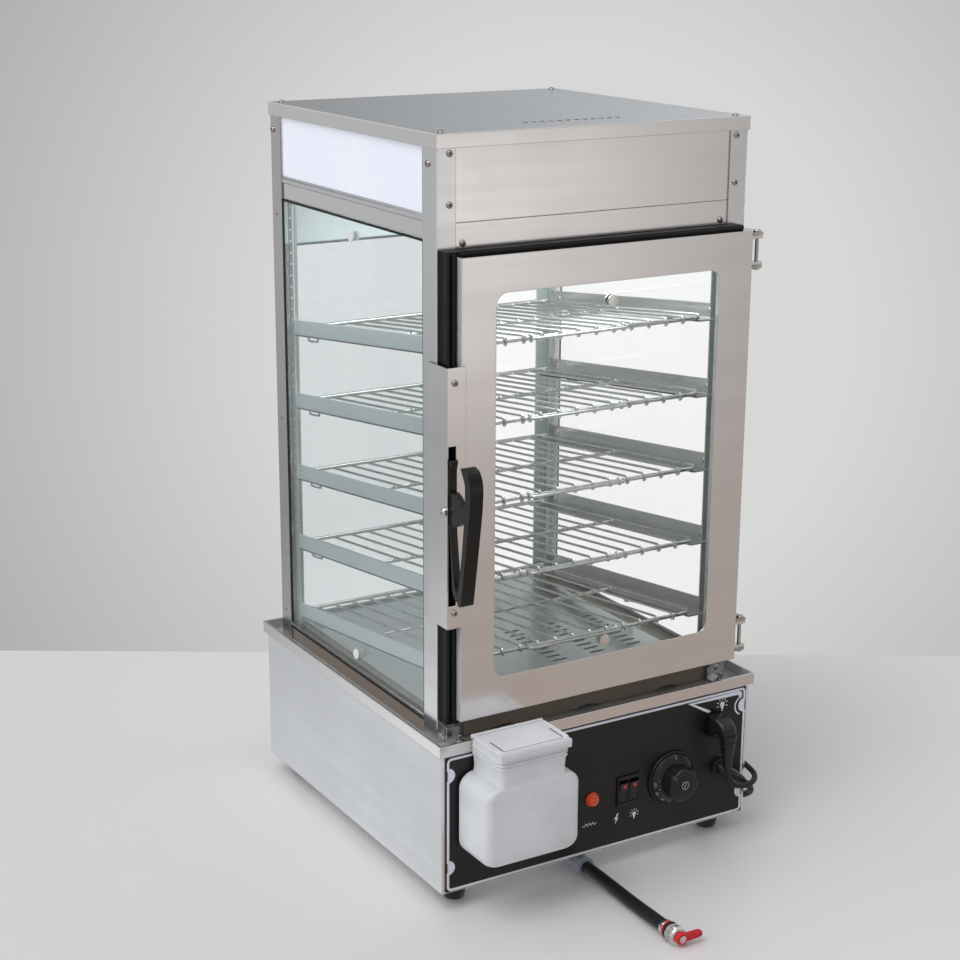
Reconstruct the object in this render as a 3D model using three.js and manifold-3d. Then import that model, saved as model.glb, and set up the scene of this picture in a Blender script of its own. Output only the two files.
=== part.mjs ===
// Countertop food warmer display case: a steam base with a glass cabinet on it.
// Millimetres, +Z up, the viewer in front looks along +Y and +X is to their right.
// Built around the middle of the base box, then set so that the origin is the bottom
// centre of the case without its free mains cord and drain hose.

import * as THREE from 'three';
import { mergeVertices } from 'three/addons/utils/BufferGeometryUtils.js';
import Module from 'manifold-3d';

const wasm = await Module();
wasm.setup();

// Shared sizes
const fitGap = 0.3;
const sheet = 1.5;
const overrun = 6;
const degree = Math.PI / 180;

// Base box, feet and control panel
const baseWidth = 372;
const baseDepth = 392;
const baseHeight = 146.4;
const footHeight = 20;
const footTopRadius = 12.5;
const footSoleRadius = 9.5;
const footSideInset = 29;
const footEndInset = 26;
const panelSideMargin = 4;
const panelEdgeMargin = 1.7;
const panelThickness = 1.5;

// Drip tray with its gutter lip
const trayWidth = 380;
const trayDepth = 400;
const trayLipHeight = 12;
const trayLipThickness = 2;

// Water tank and heating element
const tankWidth = 300;
const tankDepth = 296;
const tankHeight = 62;
const tankWall = 1.2;
const tankFlange = 10;
const elementDiameter = 8;
const elementHalfSpan = 60;
const elementReach = 230;
const elementBend = 22;
const elementRise = 16;

// Glass cabinet
const cabinetWidth = 350.4;
const cabinetDepth = 348.4;
const cabinetHeight = 584.4;
const cabinetSetback = 6;
const postFrontFlange = 20;
const postFrontDepth = 26;
const postBackDepth = 22;
const glassThickness = 4;
const coverLip = 13.3;
const coverClearance = 0.45;
const coverSheet = 1.2;
const ventCount = 12;
const ventPitch = 9.6;
const ventRadius = 1.7;
const ventSetback = 47;

// Sill frame at the foot of the cabinet and header frame under the light box
const sillHeight = 13.2;
const sillFlange = 22;
const frontSillHeight = 39;
const frontPlateHalfWidth = 145;
const frontPlateDrop = 1.2;
const drainNotchWidth = 28;
const drainNotchHeight = 4.2;
const drainNotchPitch = 100;
const headerSideHeight = 16;
const headerFrontHeight = 48;
const headerBackHeight = 67.5;
const headerFlange = 14;

// Light box on top
const lightPanelHeight = 79.2;
const lightPanelThickness = 3;
const ceilingThickness = 2;
const lampDiameter = 16;
const lampLength = 280;
const lampEndDepth = 6;
const lampHolderWidth = 12;
const lampHolderDepth = 24;
const lampHolderHeight = 36;
const lampRise = 24;

// Steam plate
const plateHalfWidth = 153.6;
const plateFrontInset = 6;
const plateBackInset = 8;
const slotLength = 18;
const slotWidth = 4;
const slotPitch = 12;
const slotRows = 9;
const slotGroupPitch = 48;
const slotGroupFirst = 27;

// Shelf racks and wire shelves
const shelfCount = 5;
const shelfTilt = 7;
const shelfPitch = 79.3;
const topRailAbove = 378.2;
const railHeight = 17;
const railFoot = 22;
const railLength = 300;
const rackSetback = 2.4;
const rackInset = 7.1;
const uprightThickness = 1.5;
const uprightWidth = 18;
const uprightReturn = 14;
const weldDepth = 0.3;
const wireCount = 15;
const wirePitch = 21;
const wireDiameter = 3;
const crossRodDiameter = 4.4;
const crossRodLength = 304;
const shelfDepth = 292;
const pullWidth = 88;
const pullReach = 8;

// Door
const doorWidth = 332;
const doorHeight = 450.5;
const doorThickness = 9;
const doorShift = 5;
const doorLift = 26.2;
const stileLeft = 37;
const stileRight = 39;
const railTop = 35.5;
const railBottom = 38;
const windowCorner = 12;
const gasketDepth = 11.3;
const gasketLeftLap = 11;
const gasketRightInset = 5;
const gasketEndLap = 4.5;
const gasketLap = 12;
const doorGlassLap = 30;

// Door hinges
const hingePinX = 183.5;
const hingePinOut = 11.8;
const hingePinDiameter = 4;
const hingePinLength = 34;
const hingeEar = 3;
const hingeEarReach = 4.2;
const hingePlateDepth = 18;
const hingePlateHeight = 36;
const hingeLugGap = 0.4;
const lowerHingeHeight = 49.7;
const upperHingeHeight = 455.7;

// Latch bracket and handle lever
const bracketThickness = 1.2;
const bracketGap = 0.6;
const bracketWidth = 20;
const bracketDepth = 36.5;
const bracketHeight = 253;
const bracketCentre = 250.7;
const latchPinAbove = 240.2;
const latchPinIn = 3.1;
const latchPinDiameter = 5;
const latchHeadRadius = 3.6;
const latchHeadLength = 3;
const notchHeight = 156;
const notchCentreDrop = 15;
const leverWidth = 7.4;
const leverSideGap = 0.4;
const gripWidth = 14;
const gripOffset = 1;
const leverReach = 51;
const leverRise = 56;

// Sockets, switches and knob on the control panel: across it in shares of its half width
// from its middle, and up from its lower edge in millimetres
const dialShare = 0.4808;
const dialAbove = 61;
const dialRadius = 29.6;
const dialRimWidth = 2.6;
const dialRimHeight = 3;
const dialBackThickness = 0.8;
const dialBoreRadius = 5;
const knobSkirtThickness = 2.4;
const knobRadius = 18.2;
const knobSkirtRise = 8;
const knobHeight = 23;
const shaftRadius = 3;
const shaftLength = 18;
const thermostatWidth = 42;
const thermostatDepth = 26;
const thermostatHeight = 34;
const indicatorShare = -0.0632;
const indicatorAbove = 59.5;
const indicatorRadius = 7.5;
const indicatorShankRadius = 5;
const indicatorShankLength = 18;
const indicatorDomeHeight = 5;
const indicatorRimHeight = 1.2;
const switchShare = 0.1786;
const switchAbove = 60;
const switchWidth = 27;
const switchHeight = 32;
const switchBezel = 2;
const switchBodyInset = 0.8;
const switchBodyDepth = 16;
const rockerWidth = 10.5;
const rockerSideGap = 0.35;
const rockerDivider = 1.4;
const rockerHalfHeight = 11;
const rockerCavityHalf = 12.5;
const rockerPivotDepth = 4.6;
const rockerEndRise = 6.2;
const rockerMidRise = 5;
const rockerFootRise = 4;
const rockerFootHalf = 7;
const rockerCavityDepth = 5.6;
const rockerTilt = 8;
const socketShare = 0.7692;
const socketAbove = 110;
const socketFlangeRadius = 15;
const socketFlangeHeight = 2;
const socketBodyRadius = 12;
const socketBodyDepth = 16;
const socketBoreRadius = 9.3;
const socketBoreDepth = 12;
const plugWidth = 20;
const plugNoseRadius = 9;
const plugNoseLength = 14;
const plugHeadHalf = 12;
const plugReach = 33;
const plugDrop = 40;
const plugTailDepth = 12;
const plugTailSetback = 3.5;
const plugHeadDepth = 11;
const plugBevel = 2.5;
const glandShare = 0.8132;
const glandAbove = 60;
const glandFlangeRadius = 9;
const glandFlangeHeight = 5;
const glandShankRadius = 6;
const glandShankLength = 14;
const glandHoodRadius = 6.2;
const glandReach = 9;
const glandRun = 11;
const glandDrop = 8.25;
const reliefLength = 16;
const reliefTipRadius = 4.6;

// Filler bottle and its lid
const fillerShare = -0.64;
const fillerBodyWidth = 108;
const fillerNeckWidth = 75;
const fillerMouthWidth = 78;
const fillerDepth = 54;
const fillerBottomAbove = 44;
const fillerBodyTopAbove = 112;
const fillerNeckAbove = 133;
const fillerTopAbove = 159.7;
const fillerCorner = 16;
const fillerShoulder = 12;
const fillerBevel = 6;
const fillerWall = 2;
const fillerPortRadius = 7;
const fillerPortAbove = 96;
const lidThickness = 3;
const lidOverhang = 1.5;
const lidBarrelRadius = 2.2;
const lidFrontLip = 5;
const lidFrontGap = 1;

// Drain outlet, valve and lever
const drainX = -20;
const drainY = -120;
const drainPipeRadius = 7;
const drainBend = 12;
const drainHoseHeight = 10;
const drainNutRadius = 9.5;
const drainNutLength = 12;
const drainNutFront = 203;
const hoseDiameter = 13;
const valveBarrelRadius = 7.8;
const valveBarrelLength = 9;
const valveBodyRadius = 9.2;
const valveBodyLength = 15;
const valveStemRadius = 2.5;
const valveStemLength = 5;
const leverHubRadius = 6;
const leverHubLength = 5;
const leverArmLength = 24;
const leverArmWidth = 8;
const leverTipWidth = 6.4;

// Mains cord, its coil and plug, and the lamp lead
const cordDiameter = 7;
const cordLift = 0.05;
const coilMiddleRadius = 41;
const coilTurnPitch = 7.6;
const coilTurnsPerLayer = 3;
const coilLayerRise = 7.6;
const coilTailLength = 62;
const coilLeftX = 213;
const coilCentreY = 60;
const coilClimbShare = 0.25;
const mainsPlugWidth = 34;
const mainsPlugThickness = 19.6;
const mainsPlugLength = 38;
const mainsPlugNeck = 16;
const mainsPlugNeckRadius = 5.5;
const mainsPinRadius = 2.4;
const mainsPinLength = 19;
const mainsPinPitch = 19;
const leadDiameter = 6;

// Levels and faces that follow from the sizes above
const baseBottom = footHeight + fitGap;
const baseTop = baseBottom + baseHeight;
const baseFront = -baseDepth / 2;
const trayBottom = baseTop + fitGap;
const trayFloorTop = trayBottom + sheet;
const cabinetBottom = trayFloorTop + fitGap;
const cabinetTop = cabinetBottom + cabinetHeight;
const cabinetHalf = cabinetWidth / 2;
const cabinetFront = cabinetSetback - cabinetDepth / 2;
const cabinetBack = cabinetSetback + cabinetDepth / 2;
const innerHalf = cabinetHalf - sheet - fitGap;
const innerFront = cabinetFront + sheet + fitGap;
const innerBack = cabinetBack - sheet - fitGap;
const sillTop = cabinetBottom + sillHeight;
const headerTop = cabinetTop - lightPanelHeight - fitGap;
const tankHalf = tankWidth / 2;
const tankFront = cabinetSetback - tankDepth / 2;
const tankBack = cabinetSetback + tankDepth / 2;
const tankTop = cabinetBottom + tankWall;
const tankBottom = tankTop - tankHeight;
const panelRight = baseWidth / 2 - panelSideMargin;
const panelLeft = -panelRight;
const panelBottom = baseBottom + panelEdgeMargin;
const panelTop = baseTop - panelEdgeMargin;
const panelBack = baseFront - fitGap;
const panelFace = panelBack - panelThickness;
const mountFace = panelFace - fitGap;
const gasketBack = cabinetFront - fitGap;
const doorBack = gasketBack - gasketDepth - fitGap;
const doorFace = doorBack - doorThickness;
const doorLeft = doorShift - doorWidth / 2;
const doorRight = doorShift + doorWidth / 2;
const doorBottom = cabinetBottom + doorLift;
const doorTop = doorBottom + doorHeight;
const windowLeft = doorLeft + stileLeft;
const windowRight = doorRight - stileRight;
const windowBottom = doorBottom + railBottom;
const windowTop = doorTop - railTop;
const hingePinY = cabinetFront - hingePinOut;
const dialX = panelRight * dialShare;
const dialZ = panelBottom + dialAbove;
const indicatorX = panelRight * indicatorShare;
const indicatorZ = panelBottom + indicatorAbove;
const switchX = panelRight * switchShare;
const switchZ = panelBottom + switchAbove;
const switchBodyHalf = switchWidth / 2 - switchBodyInset;
const switchBodyHigh = switchHeight / 2 - switchBodyInset;
const socketX = panelRight * socketShare;
const socketZ = panelBottom + socketAbove;
const glandX = panelRight * glandShare;
const glandZ = panelBottom + glandAbove;
const fillerX = panelRight * fillerShare;
const fillerPortZ = panelBottom + fillerPortAbove;

// Lever outlines in shares of its reach in front of the pin and of its rise above it
const stripShares = [
  [0.088, 0.91], [0.176, 0.91], [0.176, 0.84], [0.137, 0.75], [0.137, -0.25], [0.255, -1], [0.314, -1.27],
  [0.4, -1.36], [0.49, -1.32], [0.58, -1.2], [0.6, -1.5], [0.32, -1.5], [0.21, -1.36], [0.088, -0.2],
];
const webShares = [
  [0, 0.12], [0.137, 0.375], [0.51, 0.36], [0.78, 0.14], [0.78, -0.02], [0.51, -0.125], [0.137, -0.23],
  [0, -0.12],
];
const gripShares = [
  [0.667, -1.5], [0.843, -0.536], [0.97, 0.18], [1, 0.554], [0.97, 0.732], [0.863, 0.875],
  [0.725, 0.911], [0.627, 0.902], [0.706, 0.8], [0.804, 0.643], [0.794, 0.18], [0.686, -0.625],
  [0.569, -1.214], [0.54, -1.5],
];

// Cord routes, in millimetres from the middle of the base box
const leadRoute = [
  [140, -223.9, 91.7],
  [140, -223.9, 90.2],
  [140.5, -223.9, 86.2],
  [141.7, -223.9, 82.1],
  [146, -223.8, 74.7],
  [151.6, -223.7, 69.6],
  [158.3, -223.5, 66.5],
  [165.6, -223.4, 65.3],
  [173, -222.3, 65.4],
  [179.7, -219.3, 65.8],
  [185.4, -214.5, 66.5],
  [189.7, -207.4, 67.5],
  [191.7, -197.3, 68.9],
  [191.5, -184.4, 71.6],
  [191.1, -168.6, 76],
  [190.6, -152.1, 81.1],
  [190.1, -135.7, 85.8],
  [189.8, -119.9, 89.4],
  [189.7, -103.6, 90.8],
  [189.7, -86.4, 91.4],
  [189.7, -68.8, 92.1],
  [189.7, -51.1, 92.7],
  [189.7, -33.4, 93.2],
  [189.7, -15.8, 93.7],
  [189.7, 1.9, 94.2],
  [189.6, 19.4, 94.9],
  [189.6, 36.9, 95.8],
  [189.6, 54.3, 97],
  [189.6, 71.3, 98.6],
  [189.8, 87.9, 100.9],
  [190.3, 103.9, 104.4],
  [191, 119.3, 109.2],
  [191.9, 133.7, 115.2],
  [192.8, 146.4, 122.7],
  [193.6, 156.6, 131.4],
  [194.2, 163.8, 141.3],
  [194.5, 167.9, 152.9],
  [194.6, 168.5, 165.3],
  [194.6, 168.5, 172],
  [194.6, 168.5, 178.6],
  [193.3, 168.5, 185.5],
  [189.2, 168.5, 191.6],
  [183.4, 168.5, 195.5],
  [176.2, 168.5, 197],
  [175.6, 168.5, 197],
];
const cordRoute = [
  [172.1, -212.1, 63.9],
  [174.5, -212.1, 62.1],
  [177.8, -211.7, 59.4],
  [182.7, -209.9, 54.6],
  [186.5, -207.2, 50.1],
  [189.5, -203.5, 45.8],
  [191.6, -198.6, 41.2],
  [192.6, -192.1, 36.6],
  [192.9, -184.4, 31.8],
  [193.2, -175.7, 26.4],
  [193.5, -166.3, 20.5],
  [193.8, -157.3, 14.9],
  [194.1, -149.3, 9.9],
  [194.5, -141.5, 5.9],
  [195.1, -133.1, 3.87],
  [196, -124.3, 3.55],
  [197, -114.6, 3.55],
  [198.2, -103.9, 3.55],
  [199.5, -93, 3.55],
  [200.8, -82, 3.55],
  [202.1, -71, 3.55],
  [203.4, -60, 3.55],
  [204.7, -49.1, 3.55],
  [206, -38.1, 3.55],
  [207.2, -27.2, 3.55],
  [208.3, -16.3, 3.55],
  [209.4, -5.4, 3.55],
  [210.4, 5.5, 3.55],
  [211.2, 16.4, 3.55],
  [211.9, 27.3, 3.55],
  [212.5, 38.1, 3.55],
  [212.9, 48.9, 3.55],
  [213, 59.7, 3.55],
];
const hoseRoute = [
  [-20, -203.3, 10],
  [-20, -211, 10],
  [-20, -220, 9.9],
  [-20.1, -230, 9.7],
  [-20.2, -240, 9.5],
  [-20.3, -250, 9.3],
  [-20.5, -260, 9.1],
  [-20.7, -270, 8.9],
  [-20.9, -280, 8.8],
  [-21.1, -290, 8.8],
  [-21.3, -300, 8.9],
  [-21.5, -310, 9.1],
  [-21.6, -320, 9.2],
  [-21.7, -330, 9.3],
  [-21.8, -340, 9.3],
];

// Finishes: colour, roughness, metalness
const brushedSteel = [0xb8b3ad, 0.3, 1];
const brightSteel = [0xc9c6c2, 0.18, 1];
const darkSteel = [0x8d8984, 0.4, 1];
const clearGlass = [0xdfe9e6, 0.05, 0];
const whiteAcrylic = [0xeef0fb, 0.35, 0];
const whitePlastic = [0xeceded, 0.4, 0];
const blackPlastic = [0x141414, 0.45, 0];
const blackRubber = [0x0e0e0e, 0.7, 0];
const blackPanel = [0x222222, 0.4, 0];
const redPlastic = [0xc01a22, 0.35, 0];
const redLens = [0xd8321c, 0.2, 0];
const greyPlastic = [0x9aa0a8, 0.5, 0];

const sides = [[-1, 'left'], [1, 'right']];
const ends = [[-1, 'front'], [1, 'back']];
const pieces = [];

// Adds one named mesh; place is its position and turn its rotation about X
function addPiece(name, geometry, [color, roughness, metalness], place, turn) {
  const material = new THREE.MeshStandardMaterial({ color, roughness, metalness });
  const mesh = new THREE.Mesh(geometry, material);
  mesh.name = name;
  if (place) mesh.position.copy(place);
  if (turn) mesh.rotation.x = turn;
  pieces.push(mesh);
}

// A closed geometry as a body for booleans, without its zero-area corners
function solid(geometry) {
  const bare = geometry.clone();
  bare.deleteAttribute('normal');
  bare.deleteAttribute('uv');
  const merged = mergeVertices(bare);
  const triangles = [];
  for (let i = 0; i < merged.index.count; i += 3) {
    const a = merged.index.getX(i);
    const b = merged.index.getX(i + 1);
    const c = merged.index.getX(i + 2);
    if (a !== b && b !== c && c !== a) triangles.push(a, b, c);
  }
  return new wasm.Manifold(new wasm.Mesh({
    numProp: 3,
    vertProperties: new Float32Array(merged.attributes.position.array),
    triVerts: new Uint32Array(triangles),
  }));
}

function geometryOf(body) {
  const mesh = body.getMesh();
  const geometry = new THREE.BufferGeometry();
  geometry.setAttribute('position', new THREE.BufferAttribute(mesh.vertProperties, 3));
  geometry.setIndex(new THREE.BufferAttribute(mesh.triVerts, 1));
  return geometry;
}

function join(parts) {
  return parts.reduce((whole, part) => whole.add(part));
}

function cut(body, cutters) {
  return cutters.reduce((whole, cutter) => whole.subtract(cutter), body);
}

function at(x, y, z) {
  return new THREE.Vector3(x, y, z);
}

// Box between two values along each axis, in either order
function block(xa, xb, ya, yb, za, zb) {
  const geometry = new THREE.BoxGeometry(Math.abs(xb - xa), Math.abs(yb - ya), Math.abs(zb - za));
  geometry.translate((xa + xb) / 2, (ya + yb) / 2, (za + zb) / 2);
  return solid(geometry);
}

// Round or tapered rod between two points
function rod(radiusStart, radiusEnd, from, to, faces) {
  const along = new THREE.Vector3().subVectors(to, from);
  const geometry = new THREE.CylinderGeometry(radiusEnd, radiusStart, along.length(), faces);
  const up = at(0, 1, 0);
  geometry.applyQuaternion(new THREE.Quaternion().setFromUnitVectors(up, along.clone().normalize()));
  geometry.translate((from.x + to.x) / 2, (from.y + to.y) / 2, (from.z + to.z) / 2);
  return solid(geometry);
}

// Round piece along Y from y0 to y1
function drum(x, z, radius, y0, y1, faces) {
  return rod(radius, radius, at(x, y0, z), at(x, y1, z), faces);
}

// Turned piece: a profile of [radius, distance] revolved and aimed from its foot
function turned(profile, foot, direction, faces) {
  const points = profile.map(([radius, distance]) => new THREE.Vector2(radius, distance));
  const geometry = new THREE.LatheGeometry(points, faces);
  geometry.applyQuaternion(new THREE.Quaternion().setFromUnitVectors(at(0, 1, 0), direction));
  geometry.translate(foot.x, foot.y, foot.z);
  return solid(geometry);
}

function extrusion(shape, depth, bevel) {
  const options = { depth: depth - 2 * bevel, bevelEnabled: bevel > 0, curveSegments: 4 };
  if (bevel > 0) {
    options.bevelSize = bevel;
    options.bevelThickness = bevel;
    options.bevelOffset = -bevel;
    options.bevelSegments = 2;
  }
  const geometry = new THREE.ExtrudeGeometry(shape, options);
  geometry.rotateX(Math.PI / 2);
  return geometry;
}

// Outline in (across, up), extruded along Y from y0 to y1
function frontOutline(shape, y0, y1, bevel) {
  const geometry = extrusion(shape, y1 - y0, bevel);
  geometry.translate(0, y1 - bevel, 0);
  return solid(geometry);
}

// Outline in (forward, up), extruded along X from x0 to x1, forward being -Y from yZero
function sideOutline(shape, x0, x1, yZero, zZero, bevel) {
  const geometry = extrusion(shape, x1 - x0, bevel);
  geometry.rotateZ(-Math.PI / 2);
  geometry.translate(x1 - bevel, yZero, zZero);
  return solid(geometry);
}

function polygon(points) {
  return new THREE.Shape(points.map(([across, up]) => new THREE.Vector2(across, up)));
}

function roundedRectangle(x0, x1, z0, z1, corner) {
  const shape = new THREE.Shape();
  shape.moveTo(x0 + corner, z0);
  shape.lineTo(x1 - corner, z0);
  shape.absarc(x1 - corner, z0 + corner, corner, -Math.PI / 2, 0, false);
  shape.absarc(x1 - corner, z1 - corner, corner, 0, Math.PI / 2, false);
  shape.absarc(x0 + corner, z1 - corner, corner, Math.PI / 2, Math.PI, false);
  shape.absarc(x0 + corner, z0 + corner, corner, Math.PI, 1.5 * Math.PI, false);
  return shape;
}

// Solid tube along a curve
function tube(curve, diameter, faces, steps) {
  const corners = [];
  for (let i = 0; i < faces; i += 1) {
    const angle = (i / faces) * 2 * Math.PI;
    corners.push([diameter / 2 * Math.cos(angle), diameter / 2 * Math.sin(angle)]);
  }
  const options = { steps, bevelEnabled: false, extrudePath: curve };
  return new THREE.ExtrudeGeometry(polygon(corners), options);
}

// Four-sided ring of sheet between two heights
function squareRing(half, front, back, z0, z1, wall) {
  const outer = block(-half, half, front, back, z0, z1);
  const inner = block(wall - half, half - wall, front + wall, back - wall, z0 - overrun, z1 + overrun);
  return outer.subtract(inner);
}

// Holes that pass through both the base wall and the control panel
function frontHoles() {
  const y0 = panelFace - overrun;
  const y1 = baseFront + sheet + overrun;
  return [
    drum(fillerX, fillerPortZ, fillerPortRadius + fitGap, y0, y1, 12),
    drum(indicatorX, indicatorZ, indicatorShankRadius + fitGap, y0, y1, 12),
    drum(dialX, dialZ, shaftRadius + fitGap, y0, y1, 12),
    drum(socketX, socketZ, socketBodyRadius + fitGap, y0, y1, 16),
    drum(glandX, glandZ, glandShankRadius + fitGap, y0, y1, 12),
    block(
      switchX - switchBodyHalf - fitGap,
      switchX + switchBodyHalf + fitGap,
      y0,
      y1,
      switchZ - switchBodyHigh - fitGap,
      switchZ + switchBodyHigh + fitGap,
    ),
  ];
}

// Base box with the control panel on its front
function makeBase() {
  const half = baseWidth / 2;
  const shell = block(-half, half, baseFront, -baseFront, baseBottom, baseTop);
  const hollow = block(
    sheet - half,
    half - sheet,
    baseFront + sheet,
    -baseFront - sheet,
    baseBottom + sheet,
    baseTop + overrun,
  );
  const drainHole = rod(
    drainPipeRadius + fitGap,
    drainPipeRadius + fitGap,
    at(drainX, drainY, baseBottom - overrun),
    at(drainX, drainY, baseBottom + sheet + overrun),
    12,
  );
  addPiece('base_shell', geometryOf(cut(shell, [hollow, drainHole, ...frontHoles()])), brushedSteel);

  const panel = block(panelLeft, panelRight, panelFace, panelBack, panelBottom, panelTop);
  addPiece('control_panel', geometryOf(cut(panel, frontHoles())), blackPanel);
}

function makeFeet() {
  const profile = [
    [0, 0],
    [footSoleRadius, 0],
    [footTopRadius, footHeight / 2],
    [footTopRadius, footHeight],
    [0, footHeight],
  ];
  for (const [side, sideName] of sides) {
    for (const [end, endName] of ends) {
      const x = side * (baseWidth / 2 - footSideInset);
      const y = end * (baseDepth / 2 - footEndInset);
      const foot = turned(profile, at(x, y, 0), at(0, 0, 1), 14);
      addPiece(`foot_${endName}_${sideName}`, geometryOf(foot), blackRubber);
    }
  }
}

// Drip tray round the tank's mouth
function makeTray() {
  const half = trayWidth / 2;
  const front = -trayDepth / 2;
  const lipTop = trayBottom + trayLipHeight;
  const tray = block(-half, half, front, -front, trayBottom, lipTop);
  const gutter = block(
    trayLipThickness - half,
    half - trayLipThickness,
    front + trayLipThickness,
    -front - trayLipThickness,
    trayFloorTop,
    lipTop + overrun,
  );
  const mouth = block(
    -tankHalf - fitGap,
    tankHalf + fitGap,
    tankFront - fitGap,
    tankBack + fitGap,
    trayBottom - overrun,
    trayFloorTop + overrun,
  );
  addPiece('drip_tray', geometryOf(cut(tray, [gutter, mouth])), brushedSteel);
}

// Water tank that hangs in the tray by its rim
function makeTank() {
  const body = block(-tankHalf, tankHalf, tankFront, tankBack, tankBottom, tankTop);
  const rim = block(
    -tankHalf - tankFlange,
    tankHalf + tankFlange,
    tankFront - tankFlange,
    tankBack + tankFlange,
    cabinetBottom,
    tankTop,
  );
  const inside = block(
    tankWall - tankHalf,
    tankHalf - tankWall,
    tankFront + tankWall,
    tankBack - tankWall,
    tankBottom + tankWall,
    tankTop + overrun,
  );
  const inletRadius = fillerPortRadius - fillerWall;
  const inlet = drum(fillerX, fillerPortZ, inletRadius, tankFront - overrun, tankFront + overrun, 12);
  const outletRadius = drainPipeRadius - tankWall;
  const outlet = rod(
    outletRadius,
    outletRadius,
    at(drainX, drainY, tankBottom - overrun),
    at(drainX, drainY, tankBottom + overrun),
    12,
  );
  addPiece('water_tank', geometryOf(cut(body.add(rim), [inside, inlet, outlet])), brightSteel);
}

// Hairpin heating element between two points of the tank's front wall
function makeElement() {
  const wallY = tankFront + tankWall + fitGap;
  const farY = wallY + elementReach;
  const height = tankBottom + tankWall + elementRise;
  const half = elementHalfSpan;
  const bendRight = at(half, farY - elementBend, height);
  const backRight = at(half - elementBend, farY, height);
  const backLeft = at(elementBend - half, farY, height);
  const bendLeft = at(-half, farY - elementBend, height);
  const path = new THREE.CurvePath();
  path.add(new THREE.LineCurve3(at(half, wallY, height), bendRight));
  path.add(new THREE.QuadraticBezierCurve3(bendRight, at(half, farY, height), backRight));
  path.add(new THREE.LineCurve3(backRight, backLeft));
  path.add(new THREE.QuadraticBezierCurve3(backLeft, at(-half, farY, height), bendLeft));
  path.add(new THREE.LineCurve3(bendLeft, at(-half, wallY, height)));
  addPiece('heating_element', tube(path, elementDiameter, 6, 30), darkSteel);
}

// Drain elbow under the tank, with the nut that holds the hose
function makeDrain() {
  const top = at(drainX, drainY, tankBottom - fitGap);
  const bendTop = at(drainX, drainY, drainHoseHeight + drainBend);
  const bendEnd = at(drainX, drainY - drainBend, drainHoseHeight);
  const path = new THREE.CurvePath();
  path.add(new THREE.LineCurve3(top, bendTop));
  path.add(new THREE.QuadraticBezierCurve3(bendTop, at(drainX, drainY, drainHoseHeight), bendEnd));
  path.add(new THREE.LineCurve3(bendEnd, at(drainX, -drainNutFront, drainHoseHeight)));
  const pipe = solid(tube(path, 2 * drainPipeRadius, 8, 16));
  const nutBack = drainNutLength - drainNutFront;
  const nut = drum(drainX, drainHoseHeight, drainNutRadius, -drainNutFront, nutBack, 10);
  addPiece('drain_outlet', geometryOf(pipe.add(nut)), greyPlastic);
}

// Corner posts of the cabinet
function makePosts() {
  for (const [side, sideName] of sides) {
    for (const [end, endName] of ends) {
      const face = end < 0 ? cabinetFront : cabinetBack;
      const depth = end < 0 ? postFrontDepth : postBackDepth;
      const outer = side * cabinetHalf;
      const flankInner = outer - side * sheet;
      const frontInner = outer - side * postFrontFlange;
      const flank = block(outer, flankInner, face, face - end * depth, cabinetBottom, cabinetTop);
      const front = block(outer, frontInner, face, face - end * sheet, cabinetBottom, cabinetTop);
      addPiece(`post_${endName}_${sideName}`, geometryOf(flank.add(front)), brushedSteel);
    }
  }
}

// Half-oval notch at the foot of the front sill, where the door's drips run out
function drainNotch(middle) {
  const reach = drainNotchWidth / 2;
  const crown = cabinetBottom + drainNotchHeight;
  const shape = new THREE.Shape();
  shape.moveTo(middle - reach, cabinetBottom - overrun);
  shape.lineTo(middle + reach, cabinetBottom - overrun);
  shape.lineTo(middle + reach, cabinetBottom);
  shape.bezierCurveTo(middle + reach, crown, middle - reach, crown, middle - reach, cabinetBottom);
  return frontOutline(shape, cabinetFront - overrun, innerFront + sheet + overrun, 0);
}

function makeSillAndHeader() {
  const sillWall = squareRing(innerHalf, innerFront, innerBack, cabinetBottom, sillTop, sheet);
  const sillLedge = squareRing(innerHalf, innerFront, innerBack, sillTop - sheet, sillTop, sillFlange);
  const wallTop = cabinetBottom + frontSillHeight;
  const frontWall = block(-innerHalf, innerHalf, innerFront, innerFront + sheet, cabinetBottom, wallTop);
  const facePlate = block(
    -frontPlateHalfWidth,
    frontPlateHalfWidth,
    cabinetFront,
    innerFront + sheet / 2,
    cabinetBottom,
    wallTop - frontPlateDrop,
  );
  const notches = [-1, 0, 1].map((step) => drainNotch(step * drainNotchPitch));
  const sill = cut(join([sillWall, sillLedge, frontWall, facePlate]), notches);
  addPiece('bottom_frame', geometryOf(sill), brushedSteel);

  const sideBottom = headerTop - headerSideHeight;
  const frontBottom = headerTop - headerFrontHeight;
  const backBottom = headerTop - headerBackHeight;
  const ring = squareRing(innerHalf, innerFront, innerBack, sideBottom, headerTop, sheet);
  const ledge = squareRing(innerHalf, innerFront, innerBack, headerTop - sheet, headerTop, headerFlange);
  const front = block(-innerHalf, innerHalf, innerFront, innerFront + sheet, frontBottom, headerTop);
  const back = block(-innerHalf, innerHalf, innerBack - sheet, innerBack, backBottom, headerTop);
  addPiece('header_frame', geometryOf(join([ring, ledge, front, back])), brushedSteel);
}

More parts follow.
